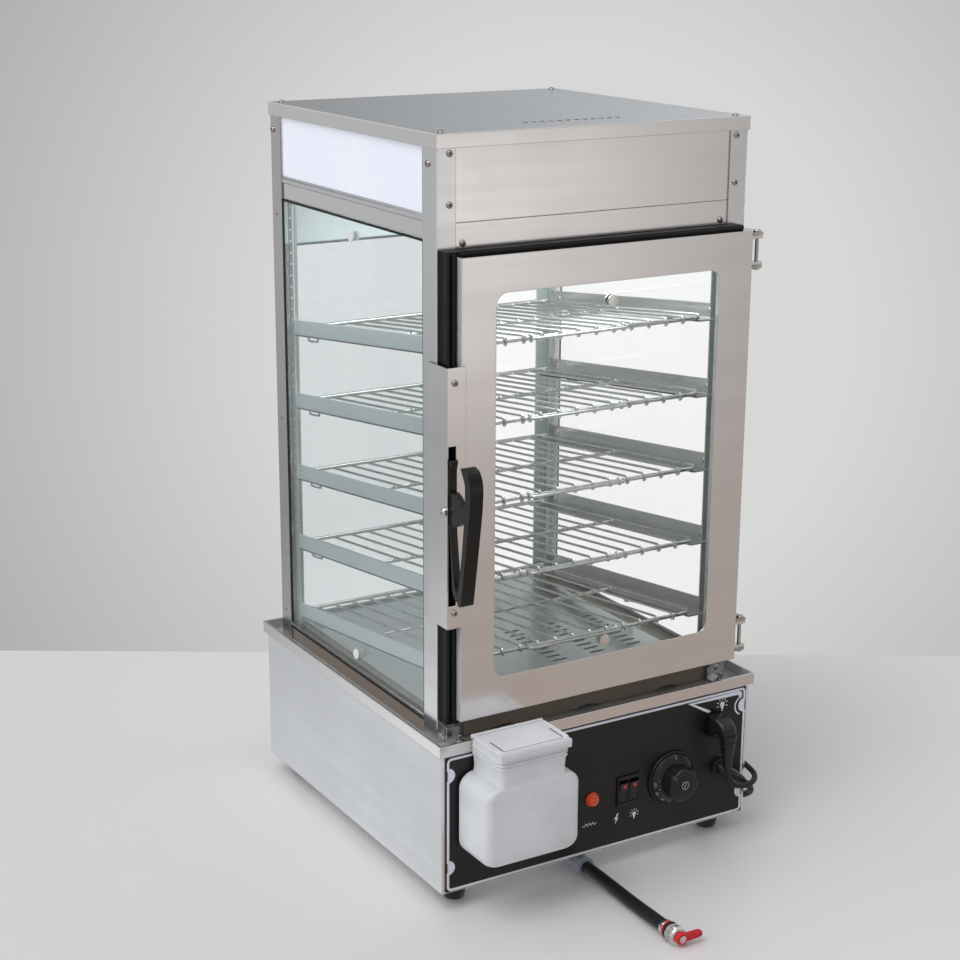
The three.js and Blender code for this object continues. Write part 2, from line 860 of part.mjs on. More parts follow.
// Light box: lit panels on three sides, steel fascia in front, lamp on the ceiling panel
function makeLightBox() {
  const foot = headerTop + fitGap;
  const start = innerFront + sheet + fitGap;
  for (const [side, sideName] of sides) {
    const outer = side * innerHalf;
    const inner = outer - side * lightPanelThickness;
    const panel = block(outer, inner, start, innerBack, foot, cabinetTop);
    addPiece(`light_panel_${sideName}`, geometryOf(panel), whiteAcrylic);
  }
  const insideHalf = innerHalf - lightPanelThickness - fitGap;
  const backStart = innerBack - lightPanelThickness;
  const backPanel = block(-insideHalf, insideHalf, backStart, innerBack, foot, cabinetTop);
  addPiece('light_panel_back', geometryOf(backPanel), whiteAcrylic);
  const fascia = block(-innerHalf, innerHalf, innerFront, innerFront + sheet, foot, cabinetTop);
  addPiece('front_fascia', geometryOf(fascia), brushedSteel);

  const ceilingTop = foot + ceilingThickness;
  const ceiling = block(-insideHalf, insideHalf, start, backStart - fitGap, foot, ceilingTop);
  const lampZ = ceilingTop + lampRise;
  const boreRadius = lampDiameter / 2 + fitGap;
  const holders = [-1, 1].map((side) => {
    const inner = side * (lampLength / 2 - lampEndDepth);
    const holder = block(
      inner,
      inner + side * lampHolderWidth,
      cabinetSetback - lampHolderDepth / 2,
      cabinetSetback + lampHolderDepth / 2,
      ceilingTop - ceilingThickness / 2,
      ceilingTop + lampHolderHeight,
    );
    const mouthStart = at(inner - side * overrun, cabinetSetback, lampZ);
    const mouthEnd = at(inner + side * (lampEndDepth + fitGap), cabinetSetback, lampZ);
    return holder.subtract(rod(boreRadius, boreRadius, mouthStart, mouthEnd, 12));
  });
  addPiece('ceiling_panel', geometryOf(join([ceiling, ...holders])), whitePlastic);

  const lampStart = at(-lampLength / 2, cabinetSetback, lampZ);
  const lampEnd = at(lampLength / 2, cabinetSetback, lampZ);
  const lamp = rod(lampDiameter / 2, lampDiameter / 2, lampStart, lampEnd, 12);
  addPiece('lamp_tube', geometryOf(lamp), whiteAcrylic);
}

// Lid of the cabinet with its row of vent holes
function makeCover() {
  const inner = cabinetHalf + coverClearance;
  const outer = inner + coverSheet;
  const front = cabinetFront - coverClearance;
  const back = cabinetBack + coverClearance;
  const top = cabinetTop + fitGap + sheet;
  const lipFoot = top - coverLip;
  const cap = block(-outer, outer, front - coverSheet, back + coverSheet, lipFoot, top);
  const inside = block(-inner, inner, front, back, lipFoot - overrun, cabinetTop + fitGap);
  const vents = [];
  for (let i = 0; i < ventCount; i += 1) {
    const x = (i - (ventCount - 1) / 2) * ventPitch;
    const y = cabinetFront + ventSetback;
    vents.push(rod(ventRadius, ventRadius, at(x, y, cabinetTop - overrun), at(x, y, top + overrun), 6));
  }
  addPiece('top_cover', geometryOf(cut(cap, [inside, ...vents])), brushedSteel);
}

function makePanes() {
  const start = innerFront + sheet + fitGap;
  const end = innerBack - sheet - fitGap;
  const foot = sillTop + fitGap;
  const sideTop = headerTop - headerSideHeight - fitGap;
  for (const [side, sideName] of sides) {
    const outer = side * innerHalf;
    const pane = block(outer, outer - side * glassThickness, start, end, foot, sideTop);
    addPiece(`${sideName}_glass`, geometryOf(pane), clearGlass);
  }
  const half = innerHalf - glassThickness - fitGap;
  const backTop = headerTop - headerBackHeight - fitGap;
  const backPane = block(-half, half, innerBack - glassThickness, innerBack, foot, backTop);
  addPiece('back_glass', geometryOf(backPane), clearGlass);
}

// Slotted plate on the sill, over the tank
function makeSteamPlate() {
  const plate = block(
    -plateHalfWidth,
    plateHalfWidth,
    innerFront + plateFrontInset,
    innerBack - plateBackInset,
    sillTop + fitGap,
    sillTop + fitGap + sheet,
  );
  const slots = [];
  for (let group = 0; group < 3; group += 1) {
    for (let row = 0; row < slotRows; row += 1) {
      const x = slotGroupFirst + group * slotGroupPitch;
      const y = (row - (slotRows - 1) / 2) * slotPitch - slotGroupFirst;
      slots.push(block(
        x - slotLength / 2,
        x + slotLength / 2,
        y - slotWidth / 2,
        y + slotWidth / 2,
        sillTop - overrun,
        sillTop + overrun,
      ));
    }
  }
  addPiece('steam_plate', geometryOf(cut(plate, slots)), brightSteel);
}

// Shelf racks: two uprights a side with tilted angle rails, higher at the door
const rackFace = cabinetHalf - rackInset;
const railFace = rackFace - uprightThickness + weldDepth;
const railMiddleY = cabinetSetback + rackSetback;

function railTopAt(index) {
  return cabinetBottom + topRailAbove - index * shelfPitch;
}

function makeRail(side, topZ) {
  const outer = side * railFace;
  const web = new THREE.BoxGeometry(uprightThickness, railLength, railHeight);
  web.translate(outer - side * uprightThickness / 2, 0, -railHeight / 2);
  const foot = new THREE.BoxGeometry(railFoot, railLength, uprightThickness);
  foot.translate(outer - side * railFoot / 2, 0, uprightThickness / 2 - railHeight);
  for (const geometry of [web, foot]) {
    geometry.rotateX(-shelfTilt * degree);
    geometry.translate(0, railMiddleY, topZ);
  }
  return solid(web).add(solid(foot));
}

function makeRacks() {
  const foot = sillTop + fitGap;
  const head = headerTop - sheet - fitGap;
  for (const [side, sideName] of sides) {
    const outer = side * rackFace;
    const parts = [];
    for (const end of [-1, 1]) {
      const edge = railMiddleY + end * railLength / 2;
      const flatInner = outer - side * uprightThickness;
      const lipInner = outer - side * uprightReturn;
      parts.push(block(outer, flatInner, edge, edge - end * uprightWidth, foot, head));
      parts.push(block(outer, lipInner, edge, edge - end * uprightThickness, foot, head));
    }
    for (let index = 0; index < shelfCount; index += 1) {
      parts.push(makeRail(side, railTopAt(index)));
    }
    addPiece(`rack_${sideName}`, geometryOf(join(parts)), brushedSteel);
  }
}

// Wire shelf drawn flat about its middle, the lowest line of its rods at height 0
function makeShelfGeometry() {
  const rodRadius = crossRodDiameter / 2;
  const wireRadius = wireDiameter / 2;
  const wireZ = crossRodDiameter + wireRadius - weldDepth;
  const front = -shelfDepth / 2;
  const half = crossRodLength / 2;
  const parts = [];
  for (const y of [front, 0, -front]) {
    parts.push(rod(rodRadius, rodRadius, at(-half, y, rodRadius), at(half, y, rodRadius), 6));
  }
  for (let i = 0; i < wireCount; i += 1) {
    const x = (i - (wireCount - 1) / 2) * wirePitch;
    parts.push(rod(wireRadius, wireRadius, at(x, front - wireRadius, wireZ), at(x, -front, wireZ), 4));
  }
  const outX = pullWidth / 2;
  const outY = front - pullReach;
  const bend = pullReach / 2;
  const leftBend = at(-outX, outY + bend, rodRadius);
  const leftRun = at(bend - outX, outY, rodRadius);
  const rightRun = at(outX - bend, outY, rodRadius);
  const rightBend = at(outX, outY + bend, rodRadius);
  const pull = new THREE.CurvePath();
  pull.add(new THREE.LineCurve3(at(-outX, front, rodRadius), leftBend));
  pull.add(new THREE.QuadraticBezierCurve3(leftBend, at(-outX, outY, rodRadius), leftRun));
  pull.add(new THREE.LineCurve3(leftRun, rightRun));
  pull.add(new THREE.QuadraticBezierCurve3(rightRun, at(outX, outY, rodRadius), rightBend));
  pull.add(new THREE.LineCurve3(rightBend, at(outX, front, rodRadius)));
  parts.push(solid(tube(pull, wireDiameter, 5, 12)));
  return geometryOf(join(parts));
}

function makeShelves() {
  const geometry = makeShelfGeometry();
  const tilt = shelfTilt * degree;
  const seat = uprightThickness + fitGap - railHeight;
  for (let index = 0; index < shelfCount; index += 1) {
    const y = railMiddleY + seat * Math.sin(tilt);
    const z = railTopAt(index) + seat * Math.cos(tilt);
    addPiece(`shelf_${index + 1}`, geometry, brightSteel, at(0, y, z), -tilt);
  }
}

// Door: folded pan with hinge lugs, pane and gasket
const hingeLevels = [[lowerHingeHeight, 'lower'], [upperHingeHeight, 'upper']];

function makeDoor() {
  const pan = block(doorLeft, doorRight, doorFace, doorBack, doorBottom, doorTop);
  const recess = block(
    doorLeft + sheet,
    doorRight - sheet,
    doorFace + sheet,
    doorBack + overrun,
    doorBottom + sheet,
    doorTop - sheet,
  );
  const window = roundedRectangle(windowLeft, windowRight, windowBottom, windowTop, windowCorner);
  const opening = frontOutline(window, doorFace - overrun, doorBack + overrun, 0);
  const parts = [cut(pan, [recess, opening])];
  const pinHoles = [];
  const boreRadius = hingePinDiameter / 2 + fitGap;
  for (const [height] of hingeLevels) {
    const centre = cabinetBottom + height;
    for (const end of [-1, 1]) {
      const lugOuter = centre + end * (hingePlateHeight / 2 - hingeEar - hingeLugGap);
      parts.push(block(
        doorRight - sheet / 2,
        hingePinX + hingeEarReach,
        hingePinY - hingeEarReach,
        hingePinY + hingeEarReach,
        lugOuter,
        lugOuter - end * hingeEar,
      ));
    }
    const low = at(hingePinX, hingePinY, centre - hingePlateHeight);
    const high = at(hingePinX, hingePinY, centre + hingePlateHeight);
    pinHoles.push(rod(boreRadius, boreRadius, low, high, 12));
  }
  addPiece('door_frame', geometryOf(cut(join(parts), pinHoles)), brushedSteel);

  const glassFront = doorFace + sheet + fitGap;
  const glassBack = glassFront + glassThickness;
  const inLeft = doorLeft + sheet + fitGap;
  const inRight = doorRight - sheet - fitGap;
  const inBottom = doorBottom + sheet + fitGap;
  const inTop = doorTop - sheet - fitGap;
  const glass = block(
    Math.max(inLeft, windowLeft - doorGlassLap),
    Math.min(inRight, windowRight + doorGlassLap),
    glassFront,
    glassBack,
    Math.max(inBottom, windowBottom - doorGlassLap),
    Math.min(inTop, windowTop + doorGlassLap),
  );
  addPiece('door_glass', geometryOf(glass), clearGlass);

  const gasketFront = gasketBack - gasketDepth;
  const sealOuter = block(
    doorLeft - gasketLeftLap,
    doorRight - gasketRightInset,
    gasketFront,
    gasketBack,
    doorBottom - gasketEndLap,
    doorTop + gasketEndLap,
  );
  const sealStep = block(inLeft, inRight, glassBack + fitGap, gasketFront + overrun, inBottom, inTop);
  const sealOpening = block(
    windowLeft - gasketLap,
    windowRight + gasketLap,
    doorFace,
    gasketBack + overrun,
    windowBottom - gasketLap,
    windowTop + gasketLap,
  );
  addPiece('door_gasket', geometryOf(sealOuter.add(sealStep).subtract(sealOpening)), blackRubber);
}

// Hinge: plate on the post's flank, two ears and the pin between them
function makeHinges() {
  const plateInner = cabinetHalf + fitGap;
  for (const [height, levelName] of hingeLevels) {
    const centre = cabinetBottom + height;
    const half = hingePlateHeight / 2;
    const parts = [block(
      plateInner,
      plateInner + sheet,
      cabinetFront,
      cabinetFront + hingePlateDepth,
      centre - half,
      centre + half,
    )];
    for (const end of [-1, 1]) {
      parts.push(block(
        plateInner,
        hingePinX + hingeEarReach,
        hingePinY - hingeEarReach,
        cabinetFront + hingePlateDepth / 2,
        centre + end * half,
        centre + end * (half - hingeEar),
      ));
    }
    const pinFoot = at(hingePinX, hingePinY, centre - hingePinLength / 2);
    const pinHead = at(hingePinX, hingePinY, centre + hingePinLength / 2);
    parts.push(rod(hingePinDiameter / 2, hingePinDiameter / 2, pinFoot, pinHead, 12));
    addPiece(`hinge_${levelName}`, geometryOf(join(parts)), brightSteel);
  }
}

// Latch bracket that wraps the door's free edge, and the lever on its pin
const bracketInner = -(cabinetHalf + bracketGap);
const bracketOuter = bracketInner - bracketThickness;
const bracketBack = doorFace - fitGap;
const bracketFace = bracketBack - bracketThickness;
const latchPinY = bracketBack + latchPinIn;
const latchPinZ = cabinetBottom + latchPinAbove;
const leverLeft = bracketInner + leverSideGap;
const leverRight = leverLeft + leverWidth;

function makeLatch() {
  const low = cabinetBottom + bracketCentre - bracketHeight / 2;
  const high = low + bracketHeight;
  const front = block(bracketOuter, bracketOuter + bracketWidth, bracketFace, bracketBack, low, high);
  const flank = block(bracketOuter, bracketInner, bracketFace, bracketFace + bracketDepth, low, high);
  const notchMiddle = latchPinZ - notchCentreDrop;
  const notch = block(
    bracketInner,
    leverRight + leverSideGap,
    bracketFace - overrun,
    bracketBack + fitGap,
    notchMiddle - notchHeight / 2,
    notchMiddle + notchHeight / 2,
  );
  const pinRadius = latchPinDiameter / 2;
  const pinStart = at(bracketOuter, latchPinY, latchPinZ);
  const pin = rod(pinRadius, pinRadius, pinStart, at(leverRight, latchPinY, latchPinZ), 10);
  const headStart = at(bracketOuter - latchHeadLength, latchPinY, latchPinZ);
  const headEnd = at(bracketOuter + bracketThickness / 2, latchPinY, latchPinZ);
  const head = rod(latchHeadRadius, latchHeadRadius, headStart, headEnd, 6);
  const bracket = join([front.add(flank).subtract(notch), pin, head]);
  addPiece('latch_bracket', geometryOf(bracket), brushedSteel);
}

function leverShape(shares) {
  return polygon(shares.map(([forward, up]) => [forward * leverReach, up * leverRise]));
}

function makeLever() {
  const bossRadius = latchPinDiameter / 2 + latchPinIn - fitGap;
  const bossStart = at(leverLeft, latchPinY, latchPinZ);
  const bossEnd = at(leverRight, latchPinY, latchPinZ);
  const boss = rod(bossRadius, bossRadius, bossStart, bossEnd, 14);
  const strip = sideOutline(leverShape(stripShares), leverLeft, leverRight, latchPinY, latchPinZ, 0);
  const web = sideOutline(leverShape(webShares), leverLeft, leverRight, latchPinY, latchPinZ, 0);
  const middle = (leverLeft + leverRight) / 2 - gripOffset;
  const gripLeft = middle - gripWidth / 2;
  const gripRight = middle + gripWidth / 2;
  const grip = sideOutline(leverShape(gripShares), gripLeft, gripRight, latchPinY, latchPinZ, 0);
  const boreRadius = latchPinDiameter / 2 + fitGap;
  const boreStart = at(leverLeft - overrun, latchPinY, latchPinZ);
  const boreEnd = at(leverRight + overrun, latchPinY, latchPinZ);
  const bore = rod(boreRadius, boreRadius, boreStart, boreEnd, 12);
  addPiece('handle_lever', geometryOf(join([boss, strip, web, grip]).subtract(bore)), blackPlastic);
}

// Thermostat behind the panel, dial ring on it and knob on the shaft
function makeThermostat() {
  const wallInside = baseFront + sheet + fitGap;
  const housing = block(
    dialX - thermostatWidth / 2,
    dialX + thermostatWidth / 2,
    wallInside,
    wallInside + thermostatDepth,
    dialZ - thermostatHeight / 2,
    dialZ + thermostatHeight / 2,
  );
  const shaftTip = wallInside - shaftLength;
  const shaft = drum(dialX, dialZ, shaftRadius, shaftTip, wallInside + sheet, 12);
  addPiece('thermostat_body', geometryOf(housing.add(shaft)), darkSteel);

  const outward = at(0, -1, 0);
  const rimInner = dialRadius - dialRimWidth;
  const ringProfile = [
    [dialBoreRadius, 0],
    [dialRadius, 0],
    [dialRadius, dialRimHeight],
    [rimInner, dialRimHeight],
    [rimInner, dialBackThickness],
    [dialBoreRadius, dialBackThickness],
    [dialBoreRadius, 0],
  ];
  const ring = turned(ringProfile, at(dialX, mountFace, dialZ), outward, 24);
  addPiece('dial_ring', geometryOf(ring), blackPlastic);

  const knobBack = mountFace - dialBackThickness - fitGap;
  const skirtRadius = rimInner - fitGap;
  const boreDepth = knobBack - shaftTip + fitGap;
  const knobProfile = [
    [shaftRadius + fitGap, 0],
    [skirtRadius, 0],
    [skirtRadius, knobSkirtThickness],
    [knobRadius, knobSkirtRise],
    [knobRadius, knobHeight - knobSkirtThickness / 2],
    [knobRadius - knobSkirtThickness / 2, knobHeight],
    [0, knobHeight],
    [0, boreDepth],
    [shaftRadius + fitGap, boreDepth],
    [shaftRadius + fitGap, 0],
  ];
  const knob = turned(knobProfile, at(dialX, knobBack, dialZ), outward, 24);
  addPiece('thermostat_knob', geometryOf(knob), blackPlastic);
}

function makeIndicator() {
  const profile = [
    [0, -indicatorShankLength],
    [indicatorShankRadius, -indicatorShankLength],
    [indicatorShankRadius, 0],
    [indicatorRadius, 0],
    [indicatorRadius, indicatorRimHeight],
    [indicatorRadius - indicatorRimHeight, indicatorDomeHeight],
    [0, indicatorDomeHeight + indicatorRimHeight],
  ];
  const lamp = turned(profile, at(indicatorX, mountFace, indicatorZ), at(0, -1, 0), 16);
  addPiece('indicator_lamp', geometryOf(lamp), redLens);
}

// Twin rocker switch, both rockers drawn with their upper end out
function makeSwitch() {
  const switchFace = mountFace - switchBezel;
  const pivotY = switchFace + rockerPivotDepth;
  const step = (rockerWidth + 2 * rockerSideGap + rockerDivider) / 2;
  const bezel = block(
    switchX - switchWidth / 2,
    switchX + switchWidth / 2,
    switchFace,
    mountFace,
    switchZ - switchHeight / 2,
    switchZ + switchHeight / 2,
  );
  const body = block(
    switchX - switchBodyHalf,
    switchX + switchBodyHalf,
    mountFace - switchBezel / 2,
    mountFace + switchBodyDepth,
    switchZ - switchBodyHigh,
    switchZ + switchBodyHigh,
  );
  const pockets = [-1, 1].map((side) => {
    const middle = switchX + side * step;
    return block(
      middle - rockerWidth / 2 - rockerSideGap,
      middle + rockerWidth / 2 + rockerSideGap,
      switchFace - overrun,
      pivotY + rockerCavityDepth,
      switchZ - rockerCavityHalf,
      switchZ + rockerCavityHalf,
    );
  });
  addPiece('switch_housing', geometryOf(cut(bezel.add(body), pockets)), blackPlastic);

  const outline = polygon([
    [rockerEndRise, -rockerHalfHeight],
    [rockerMidRise, 0],
    [rockerEndRise, rockerHalfHeight],
    [0, rockerFootHalf],
    [-rockerFootRise, rockerFootHalf],
    [-rockerFootRise, -rockerFootHalf],
    [0, -rockerFootHalf],
  ]);
  for (const [side, name] of [[-1, 'rocker_power'], [1, 'rocker_light']]) {
    const left = side * step - rockerWidth / 2;
    const rocker = geometryOf(sideOutline(outline, left, left + rockerWidth, 0, 0, 0));
    addPiece(name, rocker, blackPlastic, at(switchX, pivotY, switchZ), rockerTilt * degree);
  }
}

// Lamp socket with the right-angle plug of the cabinet's lamp lead
function makeSocketAndPlug() {
  const profile = [
    [0, -socketBodyDepth],
    [socketBodyRadius, -socketBodyDepth],
    [socketBodyRadius, 0],
    [socketFlangeRadius, 0],
    [socketFlangeRadius, socketFlangeHeight],
    [socketBoreRadius, socketFlangeHeight],
    [socketBoreRadius, socketFlangeHeight - socketBoreDepth],
    [0, socketFlangeHeight - socketBoreDepth],
  ];
  const socket = turned(profile, at(socketX, mountFace, socketZ), at(0, -1, 0), 20);
  addPiece('lamp_socket', geometryOf(socket), blackPlastic);

  const plugBack = mountFace - socketFlangeHeight - fitGap;
  const tailFront = plugReach - plugTailSetback;
  const shape = new THREE.Shape();
  shape.moveTo(0, -plugHeadHalf);
  shape.lineTo(plugReach - 2 * plugHeadDepth, -plugHeadHalf);
  shape.lineTo(tailFront - plugTailDepth, -plugDrop);
  shape.lineTo(tailFront, -plugDrop);
  shape.lineTo(plugReach, plugHeadHalf - plugHeadDepth);
  shape.quadraticCurveTo(plugReach, plugHeadHalf, plugReach - plugHeadDepth, plugHeadHalf);
  shape.lineTo(0, plugHeadHalf);
  shape.closePath();
  const left = socketX - plugWidth / 2;
  const body = sideOutline(shape, left, left + plugWidth, plugBack, socketZ, plugBevel);
  const noseEnd = plugBack + plugNoseLength - socketFlangeHeight;
  const nose = drum(socketX, socketZ, plugNoseRadius, plugBack - plugBevel, noseEnd, 16);
  addPiece('lamp_plug', geometryOf(body.add(nose)), blackPlastic);
}

// Mains gland: flange, hood that turns the cord aside, and tapered strain relief
function makeGland() {
  const hoodStart = mountFace - glandFlangeHeight;
  const start = at(glandX, hoodStart + glandFlangeHeight / 2, glandZ);
  const knee = at(glandX, hoodStart - glandReach, glandZ);
  const end = at(glandX + glandRun, hoodStart - glandReach, glandZ - glandDrop);
  const aim = new THREE.Vector3().subVectors(end, knee).normalize();
  const shankFront = mountFace - glandFlangeHeight / 2;
  const shank = drum(glandX, glandZ, glandShankRadius, shankFront, mountFace + glandShankLength, 12);
  const flange = drum(glandX, glandZ, glandFlangeRadius, hoodStart, mountFace, 16);
  const bend = new THREE.QuadraticBezierCurve3(start, knee, end);
  const hood = solid(tube(bend, 2 * glandHoodRadius, 10, 8));
  const inside = end.clone().addScaledVector(aim, -fitGap);
  const tip = end.clone().addScaledVector(aim, reliefLength);
  const relief = rod(glandHoodRadius - fitGap, reliefTipRadius, inside, tip, 10);
  addPiece('mains_gland', geometryOf(join([shank, flange, hood, relief])), blackPlastic);
}

// Filler bottle: mouth at the top, port at the back that leads to the tank
const fillerBack = -trayDepth / 2 - fitGap;
const fillerFront = fillerBack - fillerDepth;
const fillerBottom = panelBottom + fillerBottomAbove;
const fillerTop = panelBottom + fillerTopAbove;

function fillerShape(inset) {
  const half = fillerBodyWidth / 2 - inset;
  const neck = fillerNeckWidth / 2 - inset;
  const mouth = fillerMouthWidth / 2 - inset;
  const bottom = fillerBottom + inset;
  const bodyTop = panelBottom + fillerBodyTopAbove;
  const neckZ = panelBottom + fillerNeckAbove;
  const top = fillerTop + overrun + fillerBevel;
  const shape = new THREE.Shape();
  shape.moveTo(fillerCorner - half, bottom);
  shape.lineTo(half - fillerCorner, bottom);
  shape.quadraticCurveTo(half, bottom, half, bottom + fillerCorner);
  shape.lineTo(half, bodyTop);
  shape.quadraticCurveTo(half, bodyTop + fillerShoulder, neck, neckZ);
  shape.lineTo(mouth, top);
  shape.lineTo(-mouth, top);
  shape.lineTo(-neck, neckZ);
  shape.quadraticCurveTo(-half, bodyTop + fillerShoulder, -half, bodyTop);
  shape.lineTo(-half, bottom + fillerCorner);
  shape.quadraticCurveTo(-half, bottom, fillerCorner - half, bottom);
  return shape;
}

function makeFiller() {
  const body = frontOutline(fillerShape(0), fillerFront, fillerBack, fillerBevel);
  const hollowFront = fillerFront + fillerWall;
  const hollowBack = fillerBack - fillerWall;
  const hollow = frontOutline(fillerShape(fillerWall), hollowFront, hollowBack, fillerBevel - fillerWall);
  const crown = block(
    -fillerBodyWidth,
    fillerBodyWidth,
    fillerFront - overrun,
    fillerBack + overrun,
    fillerTop,
    fillerTop + 3 * overrun,
  );
  const shell = geometryOf(cut(body, [hollow, crown]));
  shell.translate(fillerX, 0, 0);
  const portBack = tankFront - fitGap;
  const port = drum(fillerX, fillerPortZ, fillerPortRadius, fillerBack - fillerWall / 2, portBack, 12);
  const boreRadius = fillerPortRadius - fillerWall;
  const bore = drum(fillerX, fillerPortZ, boreRadius, hollowBack - overrun, tankFront + overrun, 12);
  addPiece('filler_bottle', geometryOf(solid(shell).add(port).subtract(bore)), whitePlastic);
}

// Hinged lid of the filler, turning about the barrel along its back edge
function makeFillerLid() {
  const left = fillerX - fillerMouthWidth / 2 - lidOverhang;
  const right = fillerX + fillerMouthWidth / 2 + lidOverhang;
  const bottom = fillerTop + fitGap;
  const top = bottom + lidThickness;
  const front = fillerFront - lidFrontGap;
  const barrelY = fillerBack - lidBarrelRadius;
  const barrelZ = bottom + lidBarrelRadius;
  const plate = block(left, right, front, barrelY, bottom, top);
  const lip = block(left, right, front - lidThickness / 2, front, bottom - lidFrontLip, top);
  const barrelStart = at(left, barrelY, barrelZ);
  const barrel = rod(lidBarrelRadius, lidBarrelRadius, barrelStart, at(right, barrelY, barrelZ), 10);
  addPiece('filler_lid', geometryOf(join([plate, lip, barrel])), whitePlastic);
}

// Drain valve at the hose's end, with a lever that turns about the hose's line
function makeValve() {
  const [x, hoseEnd, z] = hoseRoute[hoseRoute.length - 1];
  const start = hoseEnd - fitGap;
  const bodyEnd = valveBarrelLength + valveBodyLength;
  const profile = [
    [0, 0],
    [valveBarrelRadius, 0],
    [valveBarrelRadius, valveBarrelLength],
    [valveBodyRadius, valveBarrelLength],
    [valveBodyRadius, bodyEnd],
    [valveStemRadius, bodyEnd],
    [valveStemRadius, bodyEnd + valveStemLength],
    [0, bodyEnd + valveStemLength],
  ];
  const body = turned(profile, at(x, start, z), at(0, -1, 0), 16);
  addPiece('drain_valve', geometryOf(body), brightSteel);

  const hubBack = start - bodyEnd - fitGap;
  const hubFront = hubBack - leverHubLength;
  const hub = drum(x, z, leverHubRadius, hubFront, hubBack, 14);
  const arm = frontOutline(polygon([
    [x, z - leverArmWidth / 2],
    [x + leverArmLength, z - leverTipWidth / 2],
    [x + leverArmLength, z + leverTipWidth / 2],
    [x, z + leverArmWidth / 2],
  ]), hubFront, hubBack, 0);
  const bore = drum(x, z, valveStemRadius + fitGap, hubFront - overrun, hubBack + overrun, 10);
  addPiece('drain_lever', geometryOf(hub.add(arm).subtract(bore)), redPlastic);
}

// Neat coil of the cord that is put away: in on the floor, up, and out again on top
class CoilCurve extends THREE.Curve {
  getPoint(t, target = new THREE.Vector3()) {
    const turns = 2 * coilTurnsPerLayer;
    const outerRadius = coilMiddleRadius + coilTurnPitch * coilTurnsPerLayer / 2;
    const woundLength = 2 * Math.PI * coilMiddleRadius * turns;
    const tailShare = coilTailLength / (coilTailLength + woundLength);
    const floorZ = cordDiameter / 2 + cordLift;
    if (t > 1 - tailShare) {
      const along = (t - 1 + tailShare) / tailShare * coilTailLength;
      const fall = cordDiameter / 2 + coilLayerRise - mainsPlugThickness / 2;
      const sunk = fall * THREE.MathUtils.smoothstep(along, 0, coilTailLength - cordDiameter);
      return target.set(coilLeftX, coilCentreY + along, floorZ + coilLayerRise - sunk);
    }
    const turn = t / (1 - tailShare) * turns;
    const radius = outerRadius - coilTurnPitch * Math.min(turn, turns - turn);
    const angle = Math.PI - 2 * Math.PI * turn;
    const half = turns / 2;
    const climb = THREE.MathUtils.smoothstep(turn, half - coilClimbShare, half + coilClimbShare);
    return target.set(
      coilLeftX + outerRadius + radius * Math.cos(angle),
      coilCentreY + radius * Math.sin(angle),
      floorZ + climb * coilLayerRise,
    );
  }
}

// Least distance between stretches of a curve that lie some samples apart, less the cord
function selfGap(curve, diameter, samples, apart) {
  const points = curve.getSpacedPoints(samples);
  let least = Infinity;
  for (let i = 0; i < points.length; i += 1) {
    for (let j = i + apart; j < points.length; j += 1) {
      least = Math.min(least, points[i].distanceTo(points[j]));
    }
  }
  return least - diameter;
}

function routeCurve(route) {
  return new THREE.CatmullRomCurve3(route.map(([x, y, z]) => at(x, y, z)));
}

function makeCords() {
  addPiece('lamp_lead', tube(routeCurve(leadRoute), leadDiameter, 8, 64), blackRubber);
  addPiece('mains_cord', tube(routeCurve(cordRoute), cordDiameter, 8, 44), blackRubber);
  addPiece('drain_hose', tube(routeCurve(hoseRoute), hoseDiameter, 10, 8), blackRubber);

  const stepsPerTurn = 24;
  const coil = new CoilCurve();
  const coilSteps = stepsPerTurn * 2 * coilTurnsPerLayer + 4;
  coil.arcLengthDivisions = 8 * coilSteps;
  addPiece('mains_coil', tube(coil, cordDiameter, 6, coilSteps), blackRubber);
  const gap = selfGap(coil, cordDiameter, 6 * coilSteps, 3 * stepsPerTurn);
  console.log(`coil: least gap between its turns ${gap.toFixed(2)} mm`);
  const total = routeCurve(cordRoute).getLength() + coil.getLength();
  console.log(`mains cord ${total.toFixed(0)} mm, hose ${routeCurve(hoseRoute).getLength().toFixed(0)} mm`);
}

// Two-pin mains plug on the coil's tail
function makeMainsPlug() {
  const plugZ = mainsPlugThickness / 2 + cordLift;
  const neckStart = coilCentreY + coilTailLength + fitGap;
  const bodyStart = neckStart + mainsPlugNeck;
  const bodyEnd = bodyStart + mainsPlugLength;
  const half = mainsPlugWidth / 2;
  const shape = polygon([
    [-half / 2, bodyStart],
    [half / 2, bodyStart],
    [half, bodyStart + mainsPlugNeck],
    [half, bodyEnd],
    [-half, bodyEnd],
    [-half, bodyStart + mainsPlugNeck],
  ]);
  const body = new THREE.ExtrudeGeometry(shape, { depth: mainsPlugThickness, bevelEnabled: false });
  body.translate(coilLeftX, 0, cordLift);
  const neckEnd = at(coilLeftX, bodyStart + fitGap, plugZ);
  const neck = rod(reliefTipRadius, mainsPlugNeckRadius, at(coilLeftX, neckStart, plugZ), neckEnd, 10);
  const pins = [-1, 1].map((side) => {
    const x = coilLeftX + side * mainsPinPitch / 2;
    const foot = at(x, bodyEnd - fitGap, plugZ);
    return rod(mainsPinRadius, mainsPinRadius, foot, at(x, bodyEnd + mainsPinLength, plugZ), 8);
  });
  addPiece('mains_plug', geometryOf(join([solid(body), neck, ...pins])), blackPlastic);
}

makeBase();
makeFeet();
makeTray();
makeTank();
makeElement();
makeDrain();
makePosts();
makeSillAndHeader();
makeLightBox();
makeCover();
makePanes();
makeSteamPlate();
makeRacks();
makeShelves();
makeDoor();
makeHinges();
makeLatch();
makeLever();
makeThermostat();
makeIndicator();
makeSwitch();
makeSocketAndPlug();
makeGland();
makeFiller();
makeFillerLid();
makeValve();
makeCords();
makeMainsPlug();

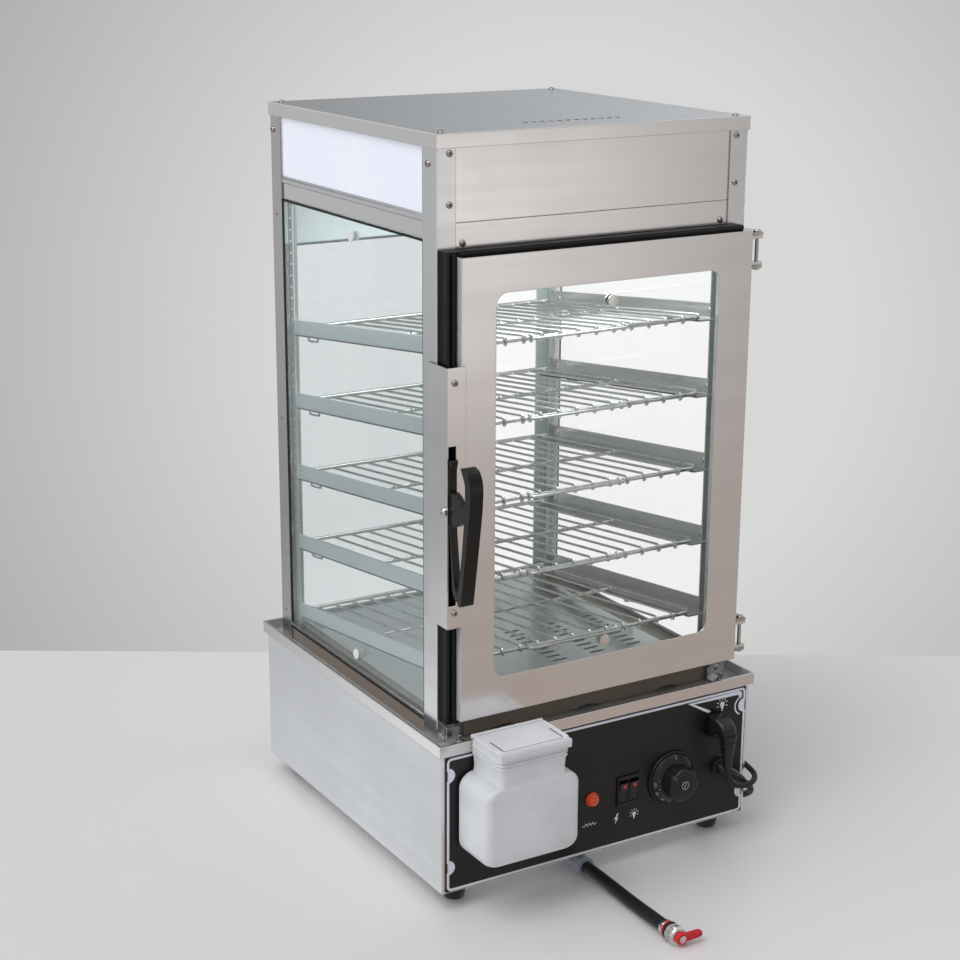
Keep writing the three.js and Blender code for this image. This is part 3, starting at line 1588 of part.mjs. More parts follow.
// The origin is the bottom centre of everything but the free cords and what is on them
const freeCords = [
  'mains_cord', 'mains_coil', 'mains_plug', 'lamp_lead', 'drain_hose', 'drain_valve', 'drain_lever',
];
const group = new THREE.Group();
const bounds = new THREE.Box3();
for (const mesh of pieces) {
  group.add(mesh);
  mesh.updateMatrixWorld(true);
  if (!freeCords.includes(mesh.name)) bounds.expandByObject(mesh, true);
}
const centre = bounds.getCenter(new THREE.Vector3());
group.position.set(-centre.x, -centre.y, -bounds.min.z);
console.log(`origin moved by ${group.position.toArray().map((value) => value.toFixed(3)).join(', ')}`);

export default group;
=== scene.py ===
"""Food warmer display case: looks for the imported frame, drawn in millimetres from the base's middle."""
import math

import bmesh
import bpy
from mathutils import Matrix, Vector


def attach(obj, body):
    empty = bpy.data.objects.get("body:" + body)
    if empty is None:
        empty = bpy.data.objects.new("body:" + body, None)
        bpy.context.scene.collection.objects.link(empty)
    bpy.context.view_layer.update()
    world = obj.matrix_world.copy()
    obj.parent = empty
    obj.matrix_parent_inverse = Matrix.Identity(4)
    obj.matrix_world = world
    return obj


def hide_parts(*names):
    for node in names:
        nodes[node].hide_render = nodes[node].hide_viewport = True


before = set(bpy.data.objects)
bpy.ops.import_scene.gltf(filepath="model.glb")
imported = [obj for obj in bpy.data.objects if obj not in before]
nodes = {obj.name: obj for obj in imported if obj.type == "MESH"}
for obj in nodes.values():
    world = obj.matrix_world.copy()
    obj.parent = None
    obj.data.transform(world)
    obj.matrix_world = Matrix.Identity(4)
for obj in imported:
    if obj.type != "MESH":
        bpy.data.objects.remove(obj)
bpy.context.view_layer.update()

MM = 0.001
SHIFT_Y = 28.4  # the row's origin lies this far in front of the base's middle
FORWARD, BACKWARD, UPWARD = (0, -1, 0), (0, 1, 0), (0, 0, 1)
NOISE_SPAN = (0.3, 0.7)  # the values that most of a noise texture lies between
GLASS_IOR = 1.45
FACING = 0.7  # a face looks along an axis where its normal's part along it is above this


def row(x, y, z):
    """A point in the row frame, in metres, from millimetres measured from the base's middle."""
    return Vector((x * MM, (y + SHIFT_Y) * MM, z * MM))


def full_turn(count):
    """Angles spaced equally round a circle."""
    return [2 * math.pi * k / count for k in range(count)]


# Camera

CAMERA_AT = (-1036.0, -1679.8, 942.8)
YAW, PITCH, ROLL = math.radians(30.985), math.radians(16.270), math.radians(0.323)
FOCAL_PX, FRAME_PX, SENSOR_MM = 1939.6, 960, 36.0


def make_camera():
    forward = Vector((math.sin(YAW) * math.cos(PITCH), math.cos(YAW) * math.cos(PITCH), -math.sin(PITCH)))
    right = Vector((math.cos(YAW), -math.sin(YAW), 0))
    up = right.cross(forward)
    across = right * math.cos(ROLL) + up * math.sin(ROLL)
    upward = up * math.cos(ROLL) - right * math.sin(ROLL)
    data = bpy.data.cameras.new("camera")
    data.sensor_fit = "HORIZONTAL"
    data.sensor_width = SENSOR_MM
    data.lens = FOCAL_PX / FRAME_PX * SENSOR_MM
    data.clip_start, data.clip_end = 0.05, 100
    camera = bpy.data.objects.new("camera", data)
    bpy.context.scene.collection.objects.link(camera)
    turn = Matrix((across, upward, -forward)).transposed().to_4x4()
    camera.matrix_world = Matrix.Translation(row(*CAMERA_AT)) @ turn
    bpy.context.scene.camera = camera


make_camera()


# Material helpers

class Nodes:
    """A node tree under construction; each call adds one node and returns its output."""

    def __init__(self, tree):
        self.tree = tree

    def add(self, kind, settings=None, output=0, **inputs):
        node = self.tree.nodes.new(kind)
        for key, value in (settings or {}).items():
            setattr(node, key, value)
        for key, value in inputs.items():
            self.put(node, key.replace("_", " "), value)
        return node.outputs[output]

    def put(self, node, key, value):
        socket = node.inputs[int(key[1:])] if key[0] == "i" and key[1:].isdigit() else node.inputs[key]
        if isinstance(value, bpy.types.NodeSocket):
            self.tree.links.new(value, socket)
        else:
            socket.default_value = value

    def math(self, operation, a, b=0.0):
        return self.add("ShaderNodeMath", {"operation": operation}, i0=a, i1=b)

    def coords(self, output="Object"):
        return self.add("ShaderNodeTexCoord", output=output)

    def stretched(self, scale):
        return self.add("ShaderNodeMapping", Vector=self.coords(), Scale=scale)

    def noise(self, vector, scale, detail=2.0, roughness=0.5):
        return self.add("ShaderNodeTexNoise", Vector=vector, Scale=scale, Detail=detail, Roughness=roughness)

    def spread(self, value, low, high, start=0.0, end=1.0):
        return self.add("ShaderNodeMapRange", Value=value, From_Min=start, From_Max=end, To_Min=low,
                        To_Max=high)

    def mix(self, factor, a, b):
        return self.add(
            "ShaderNodeMix", {"data_type": "RGBA"}, output=2, i0=factor, i6=a, i7=b)

    def mix_value(self, factor, a, b):
        return self.add("ShaderNodeMix", i0=factor, i2=a, i3=b)

    def bump(self, height, strength, distance, normal=None):
        inputs = {"Height": height, "Strength": strength, "Distance": distance}
        if normal is not None:
            inputs["Normal"] = normal
        return self.add("ShaderNodeBump", **inputs)


def rgba(color):
    return (*color, 1.0)


def shade(color, factor):
    return rgba([min(1.0, c * factor) for c in color])


def material(name, color, roughness, metallic=0.0, **plain):
    """A material with a Principled shader; plain holds its other sockets by name."""
    made = bpy.data.materials.new(name)
    made.use_nodes = True
    tree = made.node_tree
    shader = tree.nodes["Principled BSDF"]
    shader.inputs["Base Color"].default_value = rgba(color)
    shader.inputs["Roughness"].default_value = roughness
    shader.inputs["Metallic"].default_value = metallic
    for key, value in plain.items():
        shader.inputs[key.replace("_", " ")].default_value = value
    return made, Nodes(tree), shader


def steel(name, color, roughness, streaks=0.02, metallic=1.0):
    """Satin sheet steel: fine streaks, level ones running across, faint smudges and softened folds."""
    made, n, shader = material(name, color, roughness, metallic)
    facing = n.add("ShaderNodeSeparateXYZ", output=2, Vector=n.coords("Normal"))
    level = n.math("GREATER_THAN", n.math("ABSOLUTE", facing), FACING)

    def streaked(along, across, rough):
        upright = n.noise(n.stretched((along, along, across)), 1.0, 2.0, rough)
        flat = n.noise(n.stretched((along, across, along)), 1.0, 2.0, rough)
        return n.mix_value(level, upright, flat)

    fine, wide = streaked(4, 1500, 0.6), streaked(1.5, 60, 0.5)
    smudge = n.noise(n.coords(), 9.0, 3.0, 0.55)
    n.put(shader, "Base Color", n.mix(
        n.spread(n.mix_value(0.6, wide, smudge), 0.0, 1.0, *NOISE_SPAN), shade(color, 1 - streaks),
        shade(color, 1 + streaks)))
    rough = n.math("ADD", n.spread(wide, roughness - 0.03, roughness + 0.03, *NOISE_SPAN),
                   n.spread(smudge, -0.02, 0.03, 0.35, 0.7))
    n.put(shader, "Roughness", rough)
    softened = n.add("ShaderNodeBevel", {"samples": 4}, Radius=0.0011)
    n.put(shader, "Normal", n.bump(fine, 0.03, 0.0002, softened))
    return made


def moulded(name, color, roughness, texture=900.0, depth=0.12, **plain):
    """Moulded plastic or rubber: a fine eroded texture with a little variation in colour and gloss."""
    made, n, shader = material(name, color, roughness, **plain)
    patch = n.noise(n.coords(), 24.0, 3.0)
    pores = n.noise(n.coords(), texture, 2.0)
    n.put(shader, "Base Color",
          n.mix(n.spread(patch, 0.0, 1.0, *NOISE_SPAN), shade(color, 0.93), shade(color, 1.07)))
    n.put(shader, "Roughness", n.spread(patch, roughness - 0.05, roughness + 0.07, *NOISE_SPAN))
    n.put(shader, "Normal", n.bump(pores, depth, 0.0003))
    return made


def wire_chrome(name, color, roughness):
    made, n, shader = material(name, color, roughness, 1.0)
    patch = n.noise(n.coords(), 60.0, 3.0)
    drawn = n.noise(n.coords(), 420.0, 2.0)
    n.put(shader, "Base Color",
          n.mix(n.spread(patch, 0.0, 1.0, *NOISE_SPAN), shade(color, 0.9), shade(color, 1.05)))
    n.put(shader, "Roughness", n.spread(patch, roughness - 0.04, roughness + 0.08, *NOISE_SPAN))
    n.put(shader, "Normal", n.bump(drawn, 0.08, 0.0003))
    return made


def pane_glass(name, tint, film):
    """Thin clear pane: see-through with a tint, reflecting more at a glancing angle, with a faint film."""
    made = bpy.data.materials.new(name)
    made.use_nodes = True
    tree = made.node_tree
    tree.nodes.remove(tree.nodes["Principled BSDF"])
    n = Nodes(tree)
    clear = n.add("ShaderNodeBsdfTransparent", Color=rgba(tint))
    smear = n.noise(n.stretched((8, 8, 3)), 1.0, 3.0)
    gloss = n.add("ShaderNodeBsdfGlossy", Color=(1, 1, 1, 1),
                  Roughness=n.spread(smear, 0.01, 0.05, *NOISE_SPAN))
    haze = n.add("ShaderNodeBsdfDiffuse", Color=(0.82, 0.88, 0.88, 1))
    behind = n.add("ShaderNodeNewGeometry", output="Backfacing")
    mirror = n.add("ShaderNodeFresnel", IOR=n.mix_value(behind, GLASS_IOR, 1 / GLASS_IOR))
    lit = n.add("ShaderNodeMixShader", i0=mirror, i1=clear, i2=gloss)
    dusty = n.spread(smear, film * 0.5, film * 1.5, *NOISE_SPAN)
    full = n.add("ShaderNodeMixShader", i0=dusty, i1=lit, i2=haze)
    tree.links.new(full, tree.nodes["Material Output"].inputs["Surface"])
    return made


# painted cool reflection: the cover's top faces get a cooler steel than its sides
steel_cool_sheen = steel("steel_cool_sheen", (0.735, 0.76, 0.785), 0.22)
steel_warm = steel("steel_warm", (0.74, 0.725, 0.715), 0.18)
steel_post = steel("steel_post", (0.70, 0.695, 0.70), 0.2)
steel_base = steel("steel_base", (0.86, 0.87, 0.885), 0.3, 0.015)
steel_inside = steel("steel_inside", (0.78, 0.78, 0.77), 0.3)
steel_shadow = steel("steel_shadow", (0.36, 0.29, 0.24), 0.32, 0.05, metallic=0.3)
# painted shade: a darker, less metallic copy of the tray steel for the tray's inner faces and floor
tray_shaded_inside = steel("tray_shaded_inside", (0.50, 0.51, 0.51), 0.3, 0.05, metallic=0.3)
rail_steel = steel("rail_steel", (0.97, 0.97, 0.97), 0.34, 0.03, metallic=0.45)
# painted shade: a darker copy of the post steel for the back left post
steel_post_back_shaded = steel("steel_post_back_shaded", (0.54, 0.53, 0.52), 0.22)
# painted highlight: a pale, half-matt steel for folded edges and the door frame's left flank
edge_highlight = steel("edge_highlight", (0.93, 0.925, 0.915), 0.3, 0.02, metallic=0.35)
# painted light: a paler, mostly matt steel for faces that look into the lit case
pale_lit_inside = steel("pale_lit_inside", (0.86, 0.88, 0.88), 0.35, 0.02, metallic=0.2)
plate_steel = steel("plate_steel", (0.8, 0.82, 0.82), 0.24)
# painted shade: a darker copy of the rack steel for the uprights' flanges and the right rack's rails
rack_shaded_steel = steel("rack_shaded_steel", (0.60, 0.60, 0.59), 0.3, 0.06)
chrome = wire_chrome("chrome_wire", (0.72, 0.71, 0.69), 0.2)
pin_steel = wire_chrome("pin_steel", (0.5, 0.48, 0.45), 0.2)
screw_steel = wire_chrome("screw_steel", (0.48, 0.46, 0.44), 0.22)
dark_steel = steel("dark_steel", (0.36, 0.35, 0.34), 0.4)
clear_pane = pane_glass("clear_pane", (0.965, 0.985, 0.98), 0.015)
side_pane = pane_glass("side_pane", (0.827, 0.866, 0.863), 0.05)
black_plastic = moulded("black_plastic", (0.013, 0.013, 0.013), 0.36, 1400.0, 0.10, Specular_IOR_Level=0.4)
gloss_black = moulded("gloss_black", (0.006, 0.006, 0.0055), 0.24, 300.0, 0.03, Specular_IOR_Level=0.35)
black_rubber = moulded("black_rubber", (0.010, 0.010, 0.010), 0.5, 1100.0, 0.2, Specular_IOR_Level=0.35)
hose_rubber = moulded("hose_rubber", (0.010, 0.010, 0.010), 0.4, 700.0, 0.15, Specular_IOR_Level=0.35)
seal_rubber = moulded("seal_rubber", (0.008, 0.008, 0.009), 0.42, 500.0, 0.1, Specular_IOR_Level=0.25)
bottle_plastic = moulded("bottle_plastic", (0.80, 0.82, 0.84), 0.38, 260.0, 0.05,
                         Subsurface_Weight=0.25, Subsurface_Radius=(0.006, 0.006, 0.006),
                         Subsurface_Scale=1.0)
lid_plastic = moulded("lid_plastic", (0.76, 0.76, 0.80), 0.4, 500.0, 0.05)
white_plastic = moulded("white_plastic", (0.78, 0.79, 0.79), 0.4, 600.0, 0.06)
red_plastic = moulded("red_plastic", (0.62, 0.012, 0.022), 0.3, 700.0, 0.06)
grey_plastic = moulded("grey_plastic", (0.25, 0.29, 0.34), 0.42, 600.0, 0.1)
print_white = moulded("print_white", (0.84, 0.84, 0.93), 0.5, 900.0, 0.04)
print_grey = moulded("print_grey", (0.30, 0.30, 0.32), 0.5, 900.0, 0.04)
# dark ink for printed lines, also the painted shade inside the screws' cross recesses
ink_and_recess_shade = moulded("ink_and_recess_shade", (0.03, 0.03, 0.035), 0.5, 900.0, 0.04)
panel_black = moulded("panel_black", (0.012, 0.0125, 0.0125), 0.36, 520.0, 0.08, Specular_IOR_Level=0.35)
disc_white = moulded("disc_white", (0.84, 0.84, 0.84), 0.35, 500.0, 0.05)


def make_edge_glass():
    made, n, shader = material("edge_glass", (0.28, 0.47, 0.43), 0.2, Alpha=0.85, Specular_IOR_Level=0.6)
    waves = n.noise(n.stretched((14, 14, 220)), 1.0, 3.0)
    n.put(shader, "Base Color", n.mix(
        n.spread(waves, 0.0, 1.0, *NOISE_SPAN), rgba((0.20, 0.40, 0.36)), rgba((0.42, 0.62, 0.58))))
    n.put(shader, "Normal", n.bump(waves, 0.15, 0.0005))
    return made


def make_opal():
    made, n, shader = material(
        "opal_acrylic", (0.80, 0.83, 0.9), 0.28, Emission_Color=(0.84, 0.89, 1.0, 1.0), Emission_Strength=0.2)
    cloud = n.noise(n.coords(), 7.0, 2.0)
    n.put(shader, "Base Color", n.mix(
        n.spread(cloud, 0.0, 1.0, *NOISE_SPAN), rgba((0.78, 0.81, 0.89)), rgba((0.82, 0.85, 0.92))))
    n.put(shader, "Normal", n.bump(n.noise(n.coords(), 90.0, 2.0), 0.02, 0.0004))
    return made


def make_lens(name, color, glow):
    """Faceted signal lens: small ribs under a clear glossy coat, a little light of its own."""
    made, n, shader = material(
        name, color, 0.14, Emission_Color=rgba(color), Emission_Strength=glow, Coat_Weight=0.35,
        Coat_Roughness=0.08)
    cells = n.add("ShaderNodeTexVoronoi", {"feature": "F1"}, Vector=n.coords(), Scale=430.0)
    n.put(shader, "Base Color", n.mix(
        n.spread(cells, 0.0, 1.0, 0.0, 0.7), shade(color, 1.25), shade(color, 0.45)))
    n.put(shader, "Normal", n.bump(cells, 0.55, 0.0012))
    return made


edge_glass = make_edge_glass()
opal = make_opal()
lens_orange = make_lens("lens_orange", (0.78, 0.07, 0.018), 0.16)
lens_red = make_lens("lens_red", (0.6, 0.02, 0.015), 0.25)


# Mesh helpers

class Shape:
    """A mesh drawn in millimetres from the base's middle; marks choose the material of each part."""

    def __init__(self):
        self.points, self.faces, self.marks = [], [], []

    def add(self, points, faces, mark=0, place=None):
        first = len(self.points)
        self.points += [place @ Vector(p) if place else Vector(p) for p in points]
        self.faces += [[first + i for i in face] for face in faces]
        self.marks += [mark] * len(faces)
        return self

    def box(self, x0, x1, y0, y1, z0, z1, mark=0, place=None):
        points = [(x, y, z) for x in (x0, x1) for y in (y0, y1) for z in (z0, z1)]
        faces = [(0, 1, 3, 2), (4, 6, 7, 5), (0, 4, 5, 1), (2, 3, 7, 6), (0, 2, 6, 4), (1, 5, 7, 3)]
        return self.add(points, faces, mark, place)

    def loft(self, rings, mark=0, place=None, closed=False):
        """A skin over rings of equally many points, capped at both ends unless it closes on itself."""
        size, points, faces = len(rings[0]), [p for ring in rings for p in ring], []
        spans = len(rings) if closed else len(rings) - 1
        for i in range(spans):
            a, b = i * size, (i + 1) % len(rings) * size
            for j in range(size):
                k = (j + 1) % size
                faces.append((a + j, a + k, b + k, b + j))
        if not closed:
            faces.append(tuple(reversed(range(size))))
            faces.append(tuple(range((len(rings) - 1) * size, len(rings) * size)))
        return self.add(points, faces, mark, place)

    def lathe(self, profile, foot, aim, sides=32, mark=0, wave=None):
        """A turned piece: profile of (radius, distance along aim) from foot."""
        aim = Vector(aim).normalized()
        side = aim.orthogonal().normalized()
        other = aim.cross(side)
        rings = []
        for radius, distance in profile:
            ring = []
            for angle in full_turn(sides):
                r = max(radius, 0.02) * (wave(angle) if wave and radius > 0.1 else 1)
                ring.append(Vector(foot) + aim * distance + side * (r * math.cos(angle))
                            + other * (r * math.sin(angle)))
            rings.append(ring)
        return self.loft(rings, mark)

    def tube(self, path, radius, sides=8, mark=0, closed=False):
        """A round bar along a path; radius is a number or one for each point."""
        path = [Vector(p) for p in path]
        count = len(path)
        radii = [radius] * count if isinstance(radius, (int, float)) else radius
        rings, side = [], None
        for i, point in enumerate(path):
            before = path[i - 1] if i or closed else path[i]
            after = path[(i + 1) % count] if i + 1 < count or closed else path[i]
            along = (after - before).normalized()
            if side is None:
                side = along.orthogonal().normalized()
            else:
                side = (side - along * side.dot(along)).normalized()
            other = along.cross(side)
            rings.append([point + side * (radii[i] * math.cos(a)) + other * (radii[i] * math.sin(a))
                          for a in full_turn(sides)])
        return self.loft(rings, mark, closed=closed)

    def plate(self, outline, x0, x1, place):
        """An outline of (forward, up) points, x0 to x1 across; place puts it in the model."""
        rings = [[(x, -forward, up) for forward, up in outline] for x in (x0, x1)]
        return self.loft(rings, place=place)

    def face(self, outline, y0, y1):
        """An outline of (x, z) points seen from the front, y0 to y1 deep."""
        return self.loft([[(x, y, z) for x, z in outline] for y in (y0, y1)])

    def build(self, name, body, materials, bevel=0.0, segments=2, sharp=38, replaces=()):
        mesh = bpy.data.meshes.new(name)
        mesh.from_pydata([row(*p) for p in self.points], [], self.faces)
        for one in materials:
            mesh.materials.append(one)
        mesh.polygons.foreach_set("material_index", self.marks)
        mesh.validate()
        repair_normals(mesh)
        mesh.shade_smooth()
        mesh.set_sharp_from_angle(angle=math.radians(sharp))
        made = bpy.data.objects.new(name, mesh)
        bpy.context.scene.collection.objects.link(made)
        if bevel:
            edge = made.modifiers.new("edge", "BEVEL")
            edge.width, edge.segments, edge.limit_method = bevel * MM, segments, "ANGLE"
            edge.angle_limit = math.radians(30)
            edge.harden_normals = False
        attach(made, body)
        if replaces:
            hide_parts(*replaces)
        return made


def repair_normals(mesh):
    work = bmesh.new()
    work.from_mesh(mesh)
    bmesh.ops.recalc_face_normals(work, faces=work.faces)
    work.to_mesh(mesh)
    work.free()


def polar(x, z, radius, angle):
    """A point at an angle on a circle about (x, z)."""
    return x + radius * math.cos(angle), z + radius * math.sin(angle)


def corner_arcs(steps):
    """(x side, y side, angle) round the four corners of a rectangle, anticlockwise."""
    for x_side, y_side, start in ((1, 1, 0), (-1, 1, 90), (-1, -1, 180), (1, -1, 270)):
        for i in range(steps + 1):
            yield x_side, y_side, math.radians(start + 90 * i / steps)


def rounded_ring(half_x, half_y, corner, steps=5):
    """Points of a rounded rectangle about (0, 0), anticlockwise."""
    return [polar(x_side * (half_x - corner), y_side * (half_y - corner), corner, angle)
            for x_side, y_side, angle in corner_arcs(steps)]


def smooth_path(points, parts):
    """A Catmull-Rom line through the points."""
    points = [Vector(p) for p in points]
    count = len(points)
    made = []
    for i in range(count - 1):
        b, c = points[i], points[i + 1]
        a = points[i - 1] if i else b * 2 - c
        d = points[i + 2] if i + 2 < count else c * 2 - b
        for j in range(parts):
            t = j / parts
            made.append(0.5 * (2 * b + (c - a) * t + (2 * a - 5 * b + 4 * c - d) * t * t
                               + (3 * b - a - 3 * c + d) * t * t * t))
    made.append(points[-1])
    return made


# Cords and hose

LEAD_ROUTE = [
    (140, -223.9, 91.7), (140.5, -223.9, 86.2), (141.7, -223.9, 82.1), (146, -223.8, 74.7),
    (151.6, -223.7, 69.6),
    (158.3, -223.5, 66.5), (165.6, -223.4, 65.3), (173, -222.3, 65.4), (179.7, -219.3, 65.8),
    (185.4, -214.5, 66.5), (189.7, -207.4, 67.5), (191.7, -197.3, 68.9), (191.5, -184.4, 71.6),
    (191.1, -168.6, 76), (190.6, -152.1, 81.1), (190.1, -135.7, 85.8), (189.8, -119.9, 89.4),
    (189.7, -103.6, 90.8), (189.7, -86.4, 91.4), (189.7, -68.8, 92.1), (189.7, -51.1, 92.7),
    (189.7, -33.4, 93.2), (189.7, -15.8, 93.7), (189.7, 1.9, 94.2), (189.6, 19.4, 94.9),
    (189.6, 36.9, 95.8), (189.6, 54.3, 97), (189.6, 71.3, 98.6), (189.8, 87.9, 100.9),
    (190.3, 103.9, 104.4), (191, 119.3, 109.2), (191.9, 133.7, 115.2), (192.8, 146.4, 122.7),
    (193.6, 156.6, 131.4), (194.2, 163.8, 141.3), (194.5, 167.9, 152.9), (194.6, 168.5, 165.3),
    (194.6, 168.5, 172), (194.6, 168.5, 178.6), (193.3, 168.5, 185.5), (189.2, 168.5, 191.6),
    (183.4, 168.5, 195.5), (179.5, 168.5, 196.8), (175.6, 168.5, 197),
]
CORD_ROUTE = [
    (172.1, -212.1, 63.9), (177.8, -211.7, 59.4), (182.7, -209.9, 54.6), (186.5, -207.2, 50.1),
    (189.5, -203.5, 45.8), (191.6, -198.6, 41.2), (192.6, -192.1, 36.6), (192.9, -184.4, 31.8),
    (193.2, -175.7, 26.4), (193.5, -166.3, 20.5), (193.8, -157.3, 14.9), (194.1, -149.3, 9.9),
    (194.5, -141.5, 5.9), (195.1, -133.1, 3.87), (196, -124.3, 3.55), (197, -114.6, 3.55),
    (198.2, -103.9, 3.55), (199.5, -93, 3.55), (200.8, -82, 3.55), (202.1, -71, 3.55), (203.4, -60, 3.55),
    (204.7, -49.1, 3.55), (206, -38.1, 3.55), (207.2, -27.2, 3.55), (208.3, -16.3, 3.55),
    (209.4, -5.4, 3.55), (210.4, 5.5, 3.55), (211.2, 16.4, 3.55), (211.9, 27.3, 3.55), (212.5, 38.1, 3.55),
    (212.9, 48.9, 3.55), (213, 59.7, 3.55),
]
HOSE_ROUTE = [
    (-20, -203.3, 10), (-20, -211, 10), (-20, -220, 9.9), (-20.1, -230, 9.7), (-20.2, -240, 9.5),
    (-20.3, -250, 9.3), (-20.5, -260, 9.1), (-20.7, -270, 8.9), (-20.9, -280, 8.8), (-21.1, -290, 8.8),
    (-21.3, -300, 8.9), (-21.5, -310, 9.1), (-21.6, -320, 9.2), (-21.7, -330, 9.3), (-21.8, -340, 9.3),
]
CORD_DIAMETER, LEAD_DIAMETER, HOSE_DIAMETER = 7.0, 6.0, 13.0
COIL_X, COIL_Y, COIL_RADIUS, COIL_PITCH, COIL_LAYER, COIL_TAIL = 213.0, 60.0, 41.0, 7.6, 7.6, 62.0
CORD_FLOOR = 3.55
COIL_TURNS, COIL_STEPS = 6, 24  # turns, and points in each
COIL_CLIMB = 0.25  # share of a turn before and after the middle, in which the cord climbs a layer
PLUG_HALF = 9.8  # half the mains plug's thickness


def smoothstep(value, low, high):
    share = min(1.0, max(0.0, (value - low) / (high - low)))
    return share * share * (3 - 2 * share)


def coil_points():
    """Three turns inwards on the floor, three outwards on top of them, and the straight tail."""
    outer = COIL_RADIUS + COIL_PITCH * COIL_TURNS / 4
    points = []
    for i in range(COIL_TURNS * COIL_STEPS + 1):
        turn = i / COIL_STEPS
        radius = outer - COIL_PITCH * min(turn, COIL_TURNS - turn)
        angle = math.pi - 2 * math.pi * turn
        climb = smoothstep(turn, COIL_TURNS / 2 - COIL_CLIMB, COIL_TURNS / 2 + COIL_CLIMB)
        points.append((COIL_X + outer + radius * math.cos(angle), COIL_Y + radius * math.sin(angle),
                       CORD_FLOOR + climb * COIL_LAYER))
    fall = CORD_DIAMETER / 2 + COIL_LAYER - PLUG_HALF
    for i in range(1, 9):
        along = COIL_TAIL * i / 8
        sunk = fall * smoothstep(along, 0, COIL_TAIL - CORD_DIAMETER)
        points.append((COIL_X, COIL_Y + along, CORD_FLOOR + COIL_LAYER - sunk))
    return points


def cord_curve(name, points, diameter, finish, replaced):
    line = bpy.data.curves.new(name, "CURVE")
    line.dimensions = "3D"
    line.bevel_depth = diameter / 2 * MM
    line.bevel_resolution = 6
    line.use_fill_caps = True
    spline = line.splines.new("POLY")
    spline.points.add(len(points) - 1)
    for point, place in zip(spline.points, points):
        point.co = (*row(*place), 1.0)
    spline.use_smooth = True
    line.materials.append(finish)
    made = bpy.data.objects.new(name, line)
    bpy.context.scene.collection.objects.link(made)
    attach(made, "case")
    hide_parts(*replaced)
    return made


def make_cords():
    lead = smooth_path(LEAD_ROUTE, 5)
    lead_piece = cord_curve("lamp_lead_cord", lead, LEAD_DIAMETER, black_rubber, ["lamp_lead"])

    mains = smooth_path(CORD_ROUTE + coil_points()[1:], 3)
    mains_piece = cord_curve("mains_cord_run", mains, CORD_DIAMETER, black_rubber,
                             ["mains_cord", "mains_coil"])
    plug = make_mains_plug()

    hose = smooth_path(HOSE_ROUTE, 5)
    hose_piece = cord_curve("drain_hose_run", hose, HOSE_DIAMETER, hose_rubber, ["drain_hose"])
    valve = make_valve()
    handle = make_drain_handle()


def make_mains_plug():
    """Flat two-pin plug with a ribbed neck, lying beside the coil."""
    start, middle = COIL_Y + COIL_TAIL + 0.3, 9.85
    shape = Shape()
    neck = [(4.4, 0), (4.5, 2), (3.9, 2.4), (3.9, 3.6), (4.7, 4), (4.8, 6), (4.1, 6.4), (4.1, 7.6), (5, 8),
            (5.1, 10), (4.4, 10.4), (4.4, 11.6), (5.4, 12), (5.4, 17)]
    shape.lathe(neck, (COIL_X, start, middle), BACKWARD, 20)
    rings = []
    for along, half, thick in ((14.5, 6, 5.5), (16.5, 8.5, 7), (20, 11.5, 8.6), (26, 15, 9.4),
                               (34, 16.8, 9.7), (48, 16.9, 9.7), (53, 16.3, 9.3), (54.3, 15, 8.2)):
        ring = rounded_ring(half, thick, min(half, thick) * 0.55)
        rings.append([(COIL_X + u, start + along, middle + v) for u, v in ring])
    shape.loft(rings)
    for side in (-9.5, 9.5):
        shape.lathe([(2.4, 53.5), (2.4, 71.8), (1.6, 73.2), (0, 73.4)], (COIL_X + side, start, middle),
                    BACKWARD, 14, 1)
    return shape.build("mains_plug_body", "case", [black_plastic, chrome],
                       replaces=["mains_plug"])


VALVE_AT = (-21.8, -340.3, 9.3)


def make_valve():
    """Hose clamp, red and black rings and the plated body of the drain valve."""
    foot, aim = VALVE_AT, FORWARD
    shape = Shape()
    shape.lathe([(6.4, 0), (7.6, 0.2), (7.9, 1), (7.9, 4.2), (7.5, 4.8), (6.6, 5)], foot, aim, 40, 0)
    knurl = [1 + 0.018 * (i % 2) for i in range(64)]
    shape.lathe([(6.5, 4.6), (8.1, 4.8), (8.4, 5.4), (8.4, 7.6), (8.1, 8.1), (6.5, 8.3)], foot, aim, 40, 1)
    shape.lathe([(6.5, 8.0), (8.9, 8.3), (9.1, 8.8), (9.1, 10.6), (8.8, 11), (6.5, 11.2)], foot, aim, 40, 2)
    shape.lathe([(6.0, 10.9), (8.6, 11.2), (9.1, 11.9), (9.1, 14.2), (8.5, 14.9), (8.5, 15.5), (9.15, 16.2),
                 (9.15, 21.4), (8.7, 22.6), (7.6, 23.6), (6.4, 24), (2.5, 24), (2.5, 28.6), (2.1, 29),
                 (0, 29)],
                foot, aim, 64, 0, wave=lambda a: knurl[int(a / (2 * math.pi) * 64) % 64])
    return shape.build("drain_valve_body", "case", [chrome, red_plastic, seal_rubber],
                       sharp=30, replaces=["drain_valve"])


